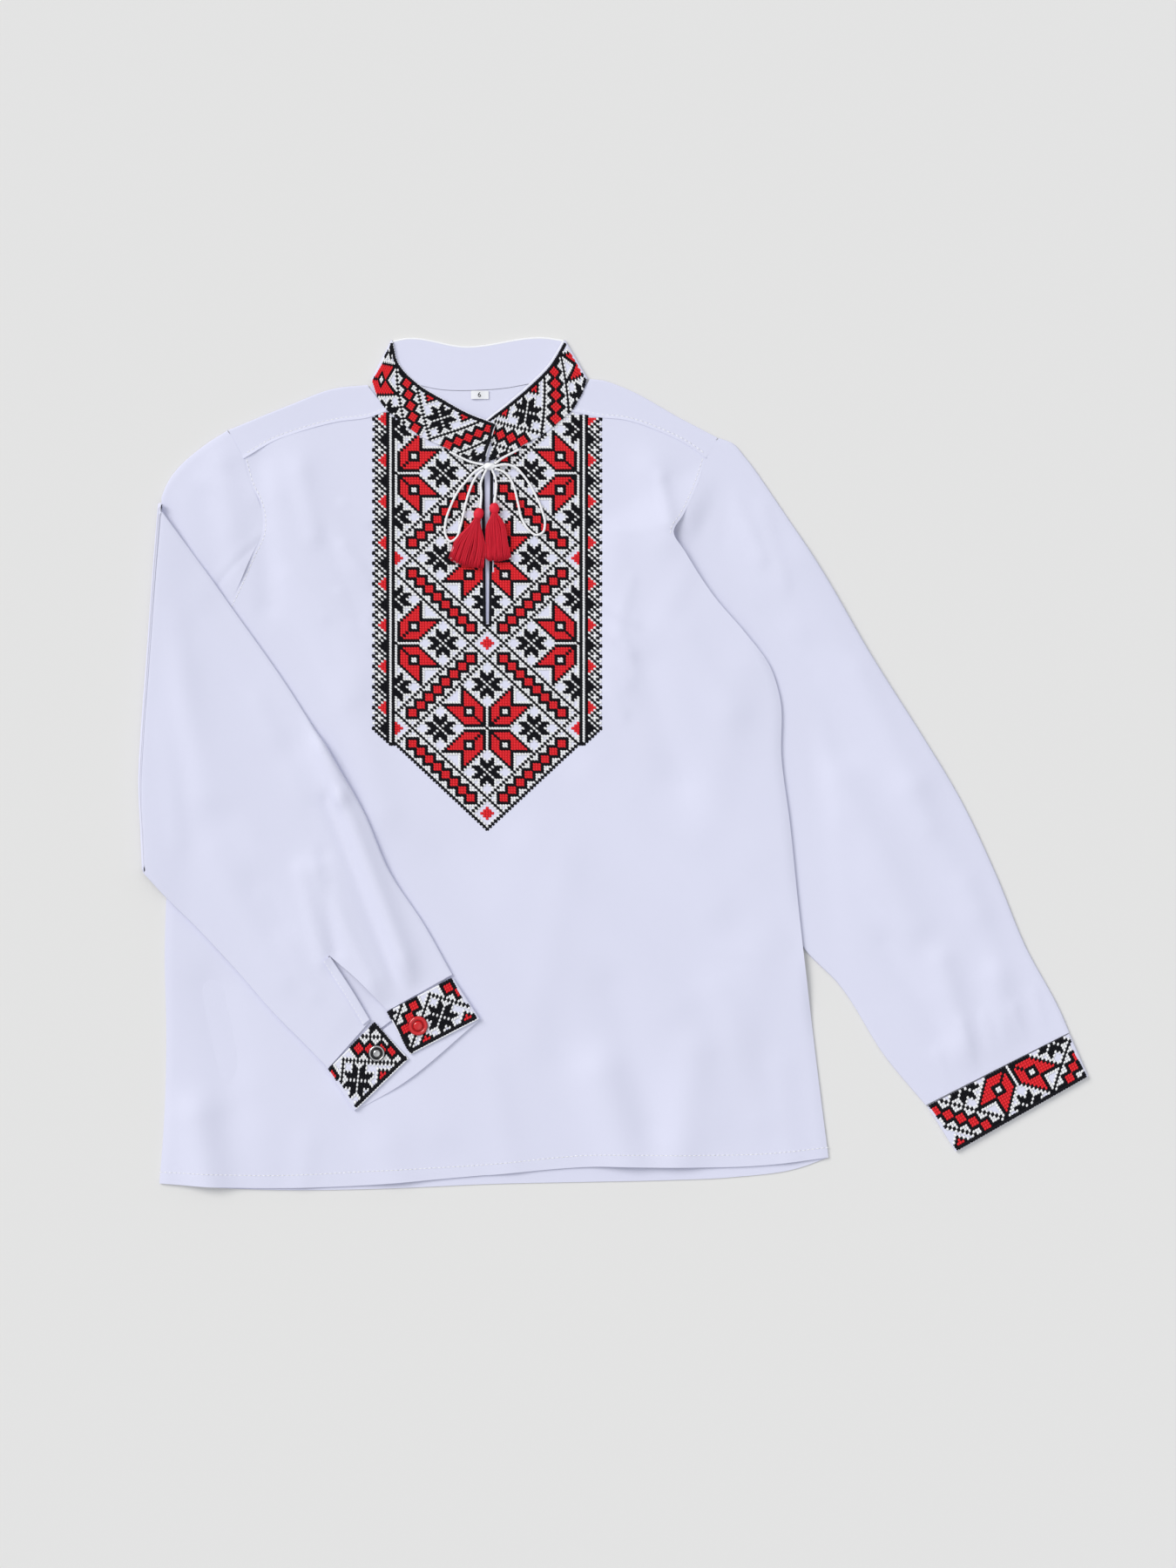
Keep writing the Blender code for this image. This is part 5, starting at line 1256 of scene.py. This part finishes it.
def stitch_band(name, part, free_margin, reach=np.inf):
    """Stitches of one face of a band: columns along it, and the chart's rows from seam to free edge.

    A cell's corner lies at its column times the pitch plus its row times the lean from the band's start.
    The last row is black, the margin stays bare, and nothing lies past the reach.
    """
    columns, star, lean, first_row, rows, ends = BAND_CHARTS[name]
    total = band_length(part)
    pitch = total / columns
    spare = int(np.ceil(abs(lean) * rows / pitch)) + 1
    column, row = np.meshgrid(np.arange(-spare, columns + spare), np.arange(rows))
    column, row = column.ravel(), row.ravel()
    code = with_white(band_stars, column - star + BAND_STEP, row + first_row)
    place = (column + 0.5) * pitch + lean * (row + 0.5)
    edge = (row == rows - 1) | (place < ends[0] * pitch) | (place > total - ends[1] * pitch)
    code = np.where(edge, BLACK, code)
    kept = (code != BARE) & (place > 0.3 * pitch) & (place < total - 0.3 * pitch) & (place < reach)
    column, row, code = column[kept], row[kept], code[kept]
    proud = sizes().band_shell / MM / 2
    corners = []
    for across, up in ((0, 0), (1, 0), (1, 1), (0, 1)):
        along = np.clip((column + across) * pitch + lean * (row + up), 0.0, total)
        corners.append(on_band(part, along, (1.0 - free_margin) * (row + up) / rows, proud))
    cross_stitches(f"{name}_stitches", np.stack(corners, axis=1), code)


# Round and flat trims


def rope(name, path, radius, material, sides=8, flat=1.0, lobes=0, lay=0.0, depth=0.0):
    """Closed tube along a path, its rings upright to it; lobes wind round it once in each lay length.

    Its radius is scaled by one plus the depth times the cosine of the lobes' angle.
    """
    run = unit(np.gradient(path, axis=0))
    side = unit(np.cross(run, (0.0, 0.0, 1.0)))
    up = np.cross(side, run)
    angle = angles(sides)
    swell = np.ones((len(path), sides))
    if lobes:
        swell += depth * np.cos(lobes * (angle[None] - 2.0 * np.pi * travelled(path)[:, None] / lay))
    width = radius * swell
    ring = side[:, None] * (np.cos(angle)[None] * width)[..., None]
    ring = ring + up[:, None] * (np.sin(angle)[None] * width * flat)[..., None]
    return put_capped(name, path[:, None] + ring, path[:1], path[-1:], material, flipped=True)


def evenly(path, step):
    """A path's points drawn again at equal steps."""
    places = travelled(path)
    wanted = np.linspace(0.0, places[-1], max(3, int(places[-1] / step) + 1))
    return np.stack([np.interp(wanted, places, path[:, k]) for k in range(3)], axis=-1)


TRIM_STEP = 1.2
SEAM_GAP = 0.8
SEAM_RISE = 0.28


def piped(name, path, kind, radius, flat=1.0):
    """Piping or satin edge of a named thread along a path."""
    rope(name, evenly(path, TRIM_STEP), radius, thread(kind), flat=flat)


def running_stitches(name, path, length=2.3):
    """Row of short white stitches along a path."""
    spots = evenly(path, length + SEAM_GAP)
    run = unit(np.gradient(spots, axis=0))
    normal = np.tile((0.0, 0.0, 1.0), (len(spots), 1))
    half = np.full(len(spots), sizes().thread / MM / 2)
    legs = leg(spots - run * length / 2, spots + run * length / 2, normal, half, SEAM_RISE)
    leg_mesh(name, legs, thread("white"))


HEM_LINE = [
    (-296, -267.7), (-222.8, -269.8), (-150, -266.5), (-82, -262.6), (-16.4, -256.6), (48.9, -256.6),
    (100, -255.6), (140.3, -251.5),
]
ARMHOLE_SEEN_V = 0.893


def make_seams():
    """Rows of stitches along the hem and beside the armholes, strips and wrist slit."""
    top = sizes().shell / MM / 2
    hem = spread(HEM_LINE, 200)
    running_stitches("hem_stitches", raised(hem, front_height(hem) + top))
    for name, seam in (("left", YOKE_FRONT_LEFT), ("right", YOKE_FRONT_RIGHT)):
        line = aside(spread(seam, 60), 1.7)[3:-3]
        running_stitches(f"yoke_{name}_stitches", raised(line, FRONT_Z + top))
    upper = np.linspace(UNDERARM_V + 0.02, 0.995, 60)
    line = aside(body_edge(BODY_LEFT, upper), -2.0)
    running_stitches("armhole_left_stitches", raised(line, front_height(line) + top))
    line = aside(body_edge(BODY_RIGHT, np.linspace(ARMHOLE_SEEN_V, 0.995, 50)), 2.0)
    running_stitches("armhole_right_stitches", raised(line, front_height(line) + top))
    for side, edge, inward in (("left", BINDING_LEFT, 0.8), ("right", BINDING_RIGHT, -0.8)):
        line = aside(spread(edge, 40), inward)[1:-1]
        running_stitches(f"placket_{side}_stitches", raised(line, binding_height(line) + top), length=1.8)


def make_slit_edges():
    """Black satin edge down both sides of the neck slit and round its closed end."""
    edge = body_edge(BODY_LEFT, np.linspace(1.0, UNDERARM_V, 60))[:, 1]
    top_y = neck_line_y(np.array([SLIT_X]))[0]
    edge = np.append(edge[edge < top_y - 0.6], SLIT_BOX_Y)
    half = slit_half(edge, edge[-1])
    top = sizes().shell / MM / 2
    for name, side in (("left", -1.0), ("right", 1.0)):
        plan = np.column_stack([SLIT_X + side * (half + 1.05), edge])
        piped(f"slit_edge_{name}", raised(plan, front_height(plan) + top), "black", 1.05, 0.42)
    box = np.column_stack([np.linspace(SLIT_X - 2.6, SLIT_X + 2.6, 8), np.full(8, SLIT_BOX_Y)])
    piped("slit_edge_end", raised(box, front_height(box) + top), "black", 1.0, 0.45)


def along_band(name, part, up, proud, kind, radius, flat=1.0, count=80, inset=0.0):
    """Trim along a band at a share of the way from its seam to its free edge."""
    along = np.linspace(inset, band_length(part) - inset, count)
    piped(name, on_band(part, along, np.full(count, up), proud), kind, radius, flat)


def across_band(name, part, place, proud, kind, radius, flat=1.0, margin=0.0):
    """Trim across a band at a distance from its start."""
    up = np.linspace(margin, 1.0 - margin, 30)
    piped(name, on_band(part, np.full(30, place), up, proud), kind, radius, flat)


COLLAR_HIDDEN_END = 5.0


def make_collar():
    """Stand collar with its stitches, white piping along both edges and black satin beside it."""
    parts = collar_parts()
    make_band("collar", parts)
    left, back, right = parts
    stitch_band("collar_left", left, 0.02)
    stitch_band("collar_right", right, 0.055, reach=band_length(right) - COLLAR_HIDDEN_END)
    top = sizes().band_shell / MM / 2
    for name, part, satin, piping in (("left", left, 0.95, 0.55), ("right", right, 0.925, 0.6)):
        along_band(f"collar_{name}_satin", part, satin, top, "black", 0.8, 0.45)
        along_band(f"collar_{name}_top", part, 0.99, 0.0, "white", piping)
        along_band(f"collar_{name}_seam", part, 0.006, 0.1, "white", 0.45)
    along_band("collar_back_top", back, 0.985, 0.0, "white", 0.7, count=60)
    across_band("collar_end_satin", left, 1.35, top + 0.25, "black", 0.95, 0.5, margin=0.02)
    across_band("collar_end_piping", left, 0.1, 0.15, "white", 0.42, margin=0.02)


def make_cuffs():
    """Cuffs with their stitches, black edge line and white piping."""
    make_band("cuff_right", cuff_right_parts(), closed=True)
    make_band("cuff_left", cuff_left_parts())
    top = sizes().band_shell / MM / 2
    shown = cuff_right_parts()[0]
    stitch_band("cuff_right", shown, 0.01)
    along_band("cuff_right_satin", shown, 0.965, top, "black", 0.95, 0.45, inset=0.4)
    upper, under, lower = cuff_left_parts()
    stitch_band("cuff_upper", upper, 0.03)
    stitch_band("cuff_lower", lower, 0.03)
    for name, part, end in (("upper", upper, 0.0), ("lower", lower, band_length(lower))):
        along_band(f"cuff_{name}_free_piping", part, 0.992, 0.1, "white", 0.55, count=60)
        along_band(f"cuff_{name}_satin", part, 0.94, top, "black", 0.95, 0.45, count=60)
        along_band(f"cuff_{name}_seam_piping", part, 0.015, 0.1, "white", 0.6, count=60)
        across_band(f"cuff_{name}_end_piping", part, abs(end - 0.2), 0.1, "white", 0.5)
        across_band(f"cuff_{name}_end_satin", part, abs(end - 1.4), top, "black", 0.9, 0.45)
    along_band("cuff_back_free_piping", under, 0.985, -0.1, "white", 0.6)


# Tie: x, y, z of each stretch of cord, as in the solids
FEED_LEFT = [
    (-107, 203.9, 3.6), (-100, 200.5, 3.7), (-94, 197.5, 4.1), (-89, 196.2, 4.5), (-84.6, 195.4, 4.6),
]
FEED_RIGHT = [(-77.4, 195.9, 4.6), (-72.5, 199.6, 4.2), (-66, 203.1, 3.7), (-61.5, 205.5, 3.6)]
LOOP_LEFT = [
    (-84.6, 194.3, 4.9), (-90.5, 190.7, 4.7), (-96, 184.8, 4.1), (-101.3, 178.2, 3.7), (-106.8, 167, 3.6),
    (-109.8, 157, 3.6), (-109.8, 150, 3.6), (-106.5, 145.2, 3.6), (-102.6, 147.5, 3.6), (-100, 154.5, 3.6),
    (-97.6, 165, 3.6), (-94.6, 176.5, 3.7), (-91.2, 185, 4), (-88.3, 189.4, 4.4), (-84.6, 192.3, 4.6),
]
LOOP_RIGHT = [
    (-77.2, 194.3, 4.9), (-71, 195.6, 4.7), (-64.5, 194, 4.1), (-58, 187.5, 3.7), (-51.5, 177, 3.6),
    (-46.5, 165.5, 3.6), (-44.6, 157, 3.6), (-46, 151.2, 3.6), (-50.2, 149.4, 3.6), (-55, 152.6, 3.6),
    (-59.5, 159.5, 3.6), (-62.2, 170, 3.6), (-64.8, 180.5, 3.8), (-68.6, 188, 4.1), (-73, 191.4, 4.5),
    (-77.4, 192.6, 4.6),
]
TAIL_LEFT = [
    (-82.6, 192.6, 4.5), (-85.2, 187.4, 4.2), (-86.6, 183, 3.8), (-86.2, 177, 3.8), (-86.9, 166.2, 4.7),
]
TAIL_RIGHT = [
    (-79.4, 192.6, 4.5), (-77.2, 187.2, 4.2), (-76.4, 182.5, 3.8), (-76.9, 176.5, 3.8), (-77.9, 169.6, 4.7),
]
KNOT_AT = (-81.0, 194.3, 4.6)
KNOT_HALF = (4.2, 2.5, 2.0)
# Each tassel: its top, its end, its skirt's width, its head's length, how soon its strands fan out, its seed
TASSELS = {
    "tassel_left": ((-86.9, 167.0), (-96.8, 128.8), 27.0, 7.6, 1.5, 3),
    "tassel_right": ((-77.9, 170.4), (-74.9, 131.8), 18.5, 7.0, 2.9, 8),
}
TASSEL_Z = 4.9
TASSEL_HALF = (3.2, 2.2)
STRANDS = 170
STRAND_RINGS = 12
STRAND_RADIUS = 0.42
STRANDS_FROM = 0.82
CORD_STEP = 0.7
CORD_LAY = 4.4
KNOT_RINGS = 25
KNOT_SIDES = 40
HEAD_RINGS = 41
HEAD_SIDES = 28


def make_cord(name, route, node):
    """Two-ply twisted cotton cord along the smooth centre line of its route, and that line."""
    path = evenly(curve(route, np.linspace(0.0, 1.0, 200)), CORD_STEP)
    finish = {"shade": 0.1, "bump": 0.3, "Roughness": 0.6, "Sheen_Weight": 0.2}
    white = material_of("cotton cord", colours().white, fibre_group(), **finish)
    obj = rope(name, path, sizes().cord / MM / 2 * 0.94, white, sides=14, lobes=2, lay=CORD_LAY, depth=0.1)
    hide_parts(node)
    return obj, path


def make_knot():
    """Overhand knot: a flattened ball whose surface is grooved where the cords wrap over each other.

    Its radius is one plus a share of the cosine of three turns round it and five along it.
    """
    turn = angles(KNOT_SIDES)
    tilt = np.linspace(0.04, np.pi - 0.04, KNOT_RINGS)[:, None]
    swell = 1.0 + 0.09 * np.cos(3.0 * turn[None] + 5.0 * tilt) * np.sin(tilt)
    x = -np.cos(tilt) * np.ones_like(turn)[None] * swell
    y = np.sin(tilt) * np.cos(turn)[None] * swell
    z = np.sin(tilt) * np.sin(turn)[None] * swell
    points = np.stack([x, y, z], axis=-1) * KNOT_HALF * 0.95 + KNOT_AT
    white = bpy.data.materials["shirt cotton cord"]
    obj = put_capped("tie_knot_wraps", points, points[0].mean(axis=0), points[-1].mean(axis=0), white)
    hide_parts("tie_knot")
    return obj


def make_strands(name, top, down, side, reach_from, skirt, flare, seed, length):
    """Strands that fan from a tassel's head, each a thin three-sided thread with its own bend.

    Their spread grows with the distance from the head, a little waved, and their thickness dies away with it.
    """
    draw = np.random.default_rng(seed)
    share = np.linspace(0.0, 1.0, STRAND_RINGS)[None, :]
    spin = draw.uniform(0.0, 2.0 * np.pi, (STRANDS, 1))
    out = np.sqrt(draw.uniform(0.0, 1.0, (STRANDS, 1)))
    a, b = out * np.cos(spin), out * np.sin(spin)
    reach = (length - reach_from) * draw.uniform(0.95, 1.0, (STRANDS, 1)) * (1.0 - 0.05 * a * a)
    fan = smoothstep(share * flare) * 0.6 + share * 0.4
    wave = 0.35 * np.sin(share * draw.uniform(4.0, 9.0, (STRANDS, 1)) + spin) * share
    across = a * (TASSEL_HALF[0] * 0.52 * (1.0 - fan) + (skirt / 2 - 0.8) * fan) + wave
    height = b * TASSEL_HALF[1] * (0.6 - 0.2 * share) + 0.12 * np.cos(share * 7.0 + spin)
    along = reach_from + reach * share
    flat = top + down * along[..., None] + side * across[..., None]
    centre = np.concatenate([flat, TASSEL_Z + height[..., None]], axis=-1)
    turn = angles(3)
    thick = STRAND_RADIUS * (1.0 - 0.35 * share**6)
    ring = np.cos(turn)[:, None] * np.array([*side, 0.0]) + np.sin(turn)[:, None] * np.array([0.0, 0.0, 1.0])
    points = (centre[:, :, None] + ring[None, None] * thick[..., None, None]).reshape(-1, 3)
    quads = grid_faces(STRAND_RINGS, 3, around=True)
    last = 3 * STRAND_RINGS
    faces = np.concatenate([quads[:, :3], quads[:, [0, 2, 3]], [(1, 0, 2), (last - 3, last - 2, last - 1)]])
    faces = (faces[None] + last * np.arange(STRANDS)[:, None, None]).reshape(-1, 3)
    return put_mesh(name, points, faces, thread("tassel"))


def make_tassel(node):
    """Tassel: strands, and a ribbed head that narrows to a waist where the strands leave it.

    The head's outline is half an ellipse's, held at a least width past its middle.
    """
    top, end, skirt, head, flare, seed = TASSELS[node]
    top, end = np.array(top), np.array(end)
    length = np.linalg.norm(end - top)
    down = (end - top) / length
    side = np.array([down[1], -down[0]])
    name = f"{node}_strands"
    strands = make_strands(name, top, down, side, head * STRANDS_FROM, skirt, flare, seed, length)
    places = np.linspace(0.0, 1.0, HEAD_RINGS)
    profile = np.sqrt(np.clip(1.0 - (2.0 * places / 1.06 - 1.0) ** 2, 0.0, 1.0))
    profile = np.where(places > 0.6, np.maximum(profile, 0.56), profile)
    profile = profile * (1.0 + 0.05 * np.sin(places * 60.0) * (places > 0.75))
    angle = angles(HEAD_SIDES)
    ribs = 1.0 + (0.03 + 0.13 * smoothstep(1.0 - places * 3.0))[:, None] * np.cos(9.0 * angle)[None]
    x = profile[:, None] * np.cos(angle)[None] * ribs * TASSEL_HALF[0]
    z = profile[:, None] * np.sin(angle)[None] * ribs * TASSEL_HALF[1]
    flat = top + down * (places * head)[:, None, None] + side * x[..., None]
    rings = np.concatenate([flat, TASSEL_Z + z[..., None]], axis=-1)
    crown = put_capped(f"{node}_head", rings, rings[0].mean(axis=0), rings[-1].mean(axis=0), thread("tassel"))
    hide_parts(node)
    return [strands, crown]


def make_tie():
    """Feeds, tails, knot, and the two loops with their tassels."""
    feed_left, _ = make_cord("tie_feed_left_cord", FEED_LEFT, "tie_feed_left")
    feed_right, _ = make_cord("tie_feed_right_cord", FEED_RIGHT, "tie_feed_right")
    tail_left, _ = make_cord("tie_tail_left_cord", TAIL_LEFT, "tie_tail_left")
    tail_right, _ = make_cord("tie_tail_right_cord", TAIL_RIGHT, "tie_tail_right")
    knot = make_knot()
    for side, route, extra in (
        ("left", LOOP_LEFT, [knot, feed_left, tail_left]),
        ("right", LOOP_RIGHT, [feed_right, tail_right]),
    ):
        loop, path = make_cord(f"tie_loop_{side}_cord", route, f"tie_loop_{side}")
        extra + make_tassel(f"tassel_{side}")


# Press studs, turned: radius, height
CAP_AT = (-127.5, -171.5)
SOCKET_AT = (-154.5, -189.5)
CAP_PROFILE = [
    (0, 0), (6.1, 0), (6.25, 0.4), (6.2, 0.9), (5.9, 1.35), (5.3, 1.7), (4.7, 1.75), (4.2, 1.5), (3.8, 1.15),
    (3.3, 1.1), (3, 1.4), (2.7, 1.9), (2, 2.2), (1, 2.35), (0, 2.4),
]
SOCKET_PROFILE = [
    (0, 0), (5.1, 0), (5.25, 0.4), (5.1, 1), (4.7, 1.4), (4.2, 1.4), (3.9, 1), (3.6, 0.6), (2.9, 0.55),
    (2.5, 0.8), (2.3, 1.5), (1.7, 1.9), (0.9, 2), (0, 2),
]


STUD_BASE = FRONT_Z + CLOTH / 2 + GAP + 2 * STIFF + 2 * GAP
STUD_SIDES = 72


def turned(name, node, centre, profile, material):
    """Profile turned about the upright line through its centre, its poles closed to one point each."""
    shape = curve(profile, np.linspace(0.0, 1.0, 70))[1:-1]
    angle = angles(STUD_SIDES)[None]
    reach = np.clip(shape[:, :1], 0.02, None)
    z = np.clip(STUD_BASE + shape[:, 1:] + 0.0 * angle, STUD_BASE, None)
    points = np.stack([centre[0] + reach * np.cos(angle), centre[1] + reach * np.sin(angle), z], axis=-1)
    foot, tip = (*centre, STUD_BASE), (*centre, STUD_BASE + profile[-1][1])
    obj = put_capped(name, points, foot, tip, material)
    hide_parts(node)
    return obj


def ring(name, centre, radius, height, thickness, material):
    """Closed ring of round section about a stud's upright line."""
    angle = 2.0 * np.pi * np.arange(97) / 96
    x, y = centre[0] + radius * np.cos(angle), centre[1] + radius * np.sin(angle)
    path = np.stack([x, y, STUD_BASE + height + 0.0 * angle], axis=-1)
    return rope(name, path, thickness, material, sides=10)


def make_studs():
    """Glossy red cap and nickel socket, both turned, with dark rings of painted shade in their grooves and
    round their rims.
    """
    enamel = {"shade": 0.04, "bump": 0.02, "Roughness": 0.12, "Coat_Weight": 0.5}
    polished = {"shade": 0.2, "bump": 0.06, "Roughness": 0.16, "Metallic": 1.0}
    red = material_of("red enamel", colours().cap, fibre_group(), **enamel)
    nickel = material_of("nickel", colours().metal, fibre_group(), **polished)
    turned("stud_cap", "snap_cap", CAP_AT, CAP_PROFILE, red)
    turned("stud_socket", "snap_socket", SOCKET_AT, SOCKET_PROFILE, nickel)
    # Painted shade: dark rings laid in the grooves and round the rims, deep red on the cap and near black on
    # the socket
    shadow = material_of("enamel groove", (0.26, 0.002, 0.004), Roughness=0.3)
    gunmetal = material_of("gunmetal", (0.03, 0.03, 0.032), Roughness=0.3, Metallic=0.6)
    for name, centre, radius, height, thickness, material, slot in (
        ("stud_cap_groove", CAP_AT, 3.6, 1.0, 0.38, shadow, "stud_cap"),
        ("stud_cap_rim", CAP_AT, 6.1, 0.55, 0.3, shadow, "stud_cap"),
        ("stud_socket_groove", SOCKET_AT, 3.3, 0.75, 0.5, gunmetal, "stud_metal"),
        ("stud_socket_rim", SOCKET_AT, 5.0, 0.75, 0.36, gunmetal, "stud_metal"),
    ):
        ring(name, centre, radius, height, thickness, material)


LABEL_BOX = (-93.0, -81.5, 238.6, 244.0)
LABEL_Z = 1.6
LABEL_WAVE = 0.25
LABEL_SHELL = 0.0004
NUMBER_AT = (-88.7, 239.9, 2.0)
NUMBER_SIZE = 4.6
NUMBER_HALF = 0.05


def make_label():
    """Size label, a little waved, with a plain number lying on it."""
    tape = material_of("label tape", (0.9, 0.9, 0.92), weave_group(), shade=0.04, bump=0.3, Roughness=0.5)
    left, right, low, high = LABEL_BOX
    x, y = np.meshgrid(np.linspace(left, right, 24), np.linspace(low, high, 12))
    mid = np.stack([x, y, LABEL_Z + LABEL_WAVE * np.sin((x - left) * 0.5)], axis=-1)
    obj = thin_cloth("size_label", mid, tape, LABEL_SHELL)
    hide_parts("neck_label")
    text = bpy.data.curves.new("size number", "FONT")
    text.body = "6"
    text.size = NUMBER_SIZE * MM
    text.extrude = NUMBER_HALF * MM
    holder = bpy.data.objects.new("size number holder", text)
    bpy.context.scene.collection.objects.link(holder)
    bpy.context.view_layer.update()
    mesh = bpy.data.meshes.new_from_object(holder.evaluated_get(bpy.context.evaluated_depsgraph_get()))
    bpy.data.objects.remove(holder)
    points = np.empty(len(mesh.vertices) * 3, np.float32)
    mesh.vertices.foreach_get("co", points)
    points = points.reshape(-1, 3)
    points += (np.array(NUMBER_AT) - DATUM) * MM
    mesh.vertices.foreach_set("co", points.ravel())
    mesh.materials.clear()
    mesh.materials.append(thread("black"))
    number = bpy.data.objects.new("size_number", mesh)
    bpy.context.scene.collection.objects.link(number)
    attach(number, "root")


# Stage

CAMERA_AT = (-0.0164, -0.0132, 2.4256)
FLOOR_HALF = 4.0
LENS = 85.0
SENSOR = 36.0


def make_camera():
    """Camera straight above the shirt, as in the photograph."""
    data = bpy.data.cameras.new("camera")
    data.lens, data.sensor_width = LENS, SENSOR
    data.clip_start, data.clip_end = 0.01, 50.0
    camera = bpy.data.objects.new("camera", data)
    camera.location = CAMERA_AT
    bpy.context.scene.collection.objects.link(camera)
    bpy.context.scene.camera = camera


def soft_sun(name, place, spread_angle, strength, tint):
    """Distant light shining from a place to the middle of the shirt, its edge softened by its angle."""
    data = bpy.data.lights.new(name, "SUN")
    data.angle = spread_angle
    data.energy = strength
    data.color = tint
    lamp = bpy.data.objects.new(name, data)
    lamp.location = place
    level = math.hypot(place[0], place[1])
    lamp.rotation_euler = (math.atan2(level, place[2]), 0.0, math.atan2(place[1], place[0]) + math.pi / 2)
    bpy.context.scene.collection.objects.link(lamp)


def make_stage():
    """Plain pale floor and soft light from above, a little stronger from the neck's side."""
    bpy.context.scene.view_settings.view_transform = "Standard"
    half = FLOOR_HALF
    mesh = bpy.data.meshes.new("floor")
    corners = [(-half, -half, 0.0), (half, -half, 0.0), (half, half, 0.0), (-half, half, 0.0)]
    mesh.from_pydata(corners, [], [(0, 1, 2, 3)])
    floor = bpy.data.objects.new("floor", mesh)
    mesh.materials.append(material_of("pale floor", colours().floor, Roughness=0.9))
    bpy.context.scene.collection.objects.link(floor)
    world = bpy.data.worlds.new("studio")
    world.use_nodes = True
    world.node_tree.nodes["Background"].inputs["Color"].default_value = (0.92, 0.95, 1.0, 1.0)
    world.node_tree.nodes["Background"].inputs["Strength"].default_value = 0.58
    bpy.context.scene.world = world
    soft_sun("key", (-1.6, 1.3, 1.7), math.radians(34.0), 1.8, (1.0, 0.99, 0.98))
    soft_sun("fill", (1.5, -0.8, 3.0), math.radians(60.0), 0.25, (0.97, 0.98, 1.0))


# Operators


class Steps:
    """Runs an operator's steps in order."""

    def execute(self, context):
        for step in self.steps:
            step()
        return {"FINISHED"}


class SHIRT_OT_stage(Steps, bpy.types.Operator):
    """Make the camera, floor and light"""

    bl_idname = "shirt.stage"
    bl_label = "Stage"
    steps = (make_camera, make_stage)


class SHIRT_OT_tie(Steps, bpy.types.Operator):
    """Make the tie, its knot and its tassels"""

    bl_idname = "shirt.tie"
    bl_label = "Tie"
    steps = (make_tie,)


class SHIRT_OT_body(Steps, bpy.types.Operator):
    """Make the back, front and shoulder strips"""

    bl_idname = "shirt.body"
    bl_label = "Body"
    steps = (make_back, make_front, make_yokes)


class SHIRT_OT_sleeves(Steps, bpy.types.Operator):
    """Make both sleeves and the wrist binding"""

    bl_idname = "shirt.sleeves"
    bl_label = "Sleeves"
    steps = (make_sleeve_right, make_sleeve_left, make_placket)


class SHIRT_OT_collar(Steps, bpy.types.Operator):
    """Make the collar, its stitches and its piping"""

    bl_idname = "shirt.collar"
    bl_label = "Collar"
    steps = (make_collar,)


class SHIRT_OT_cuffs(Steps, bpy.types.Operator):
    """Make both cuffs, their stitches and their piping"""

    bl_idname = "shirt.cuffs"
    bl_label = "Cuffs"
    steps = (make_cuffs,)


class SHIRT_OT_bib(Steps, bpy.types.Operator):
    """Stitch the bib and edge the neck slit"""

    bl_idname = "shirt.bib"
    bl_label = "Bib"
    steps = (make_bib, make_slit_edges)


class SHIRT_OT_seams(Steps, bpy.types.Operator):
    """Sew the hem and the seams"""

    bl_idname = "shirt.seams"
    bl_label = "Seams"
    steps = (make_seams,)


class SHIRT_OT_studs(Steps, bpy.types.Operator):
    """Make the press studs and the size label"""

    bl_idname = "shirt.studs"
    bl_label = "Studs and label"
    steps = (make_studs, make_label)


OPERATORS = (
    SHIRT_OT_stage,
    SHIRT_OT_tie,
    SHIRT_OT_body,
    SHIRT_OT_sleeves,
    SHIRT_OT_collar,
    SHIRT_OT_cuffs,
    SHIRT_OT_bib,
    SHIRT_OT_seams,
    SHIRT_OT_studs,
)


class SHIRT_PT_panel(bpy.types.Panel):
    """Sidebar panel with the shirt's pieces, sizes and colours."""

    bl_idname = "SHIRT_PT_panel"
    bl_label = "Folk shirt"
    bl_space_type = "VIEW_3D"
    bl_region_type = "UI"
    bl_category = "Folk shirt"

    def draw(self, context):
        layout = self.layout
        for group in (context.scene.shirt_sizes, context.scene.shirt_colours):
            for name in group.bl_rna.properties.keys():
                if name not in ("rna_type", "name"):
                    layout.prop(group, name)
        for operator in OPERATORS:
            layout.operator(operator.bl_idname)


CLASSES = (ShirtSizes, ShirtColours, *OPERATORS, SHIRT_PT_panel)


def register():
    for cls in CLASSES:
        bpy.utils.register_class(cls)
    bpy.types.Scene.shirt_sizes = PointerProperty(type=ShirtSizes)
    bpy.types.Scene.shirt_colours = PointerProperty(type=ShirtColours)


def unregister():
    del bpy.types.Scene.shirt_colours
    del bpy.types.Scene.shirt_sizes
    for cls in reversed(CLASSES):
        bpy.utils.unregister_class(cls)


def main():
    register()
    for operator in OPERATORS:
        group, name = operator.bl_idname.split(".")
        getattr(getattr(bpy.ops, group), name)()


if __name__ == "__main__":
    main()
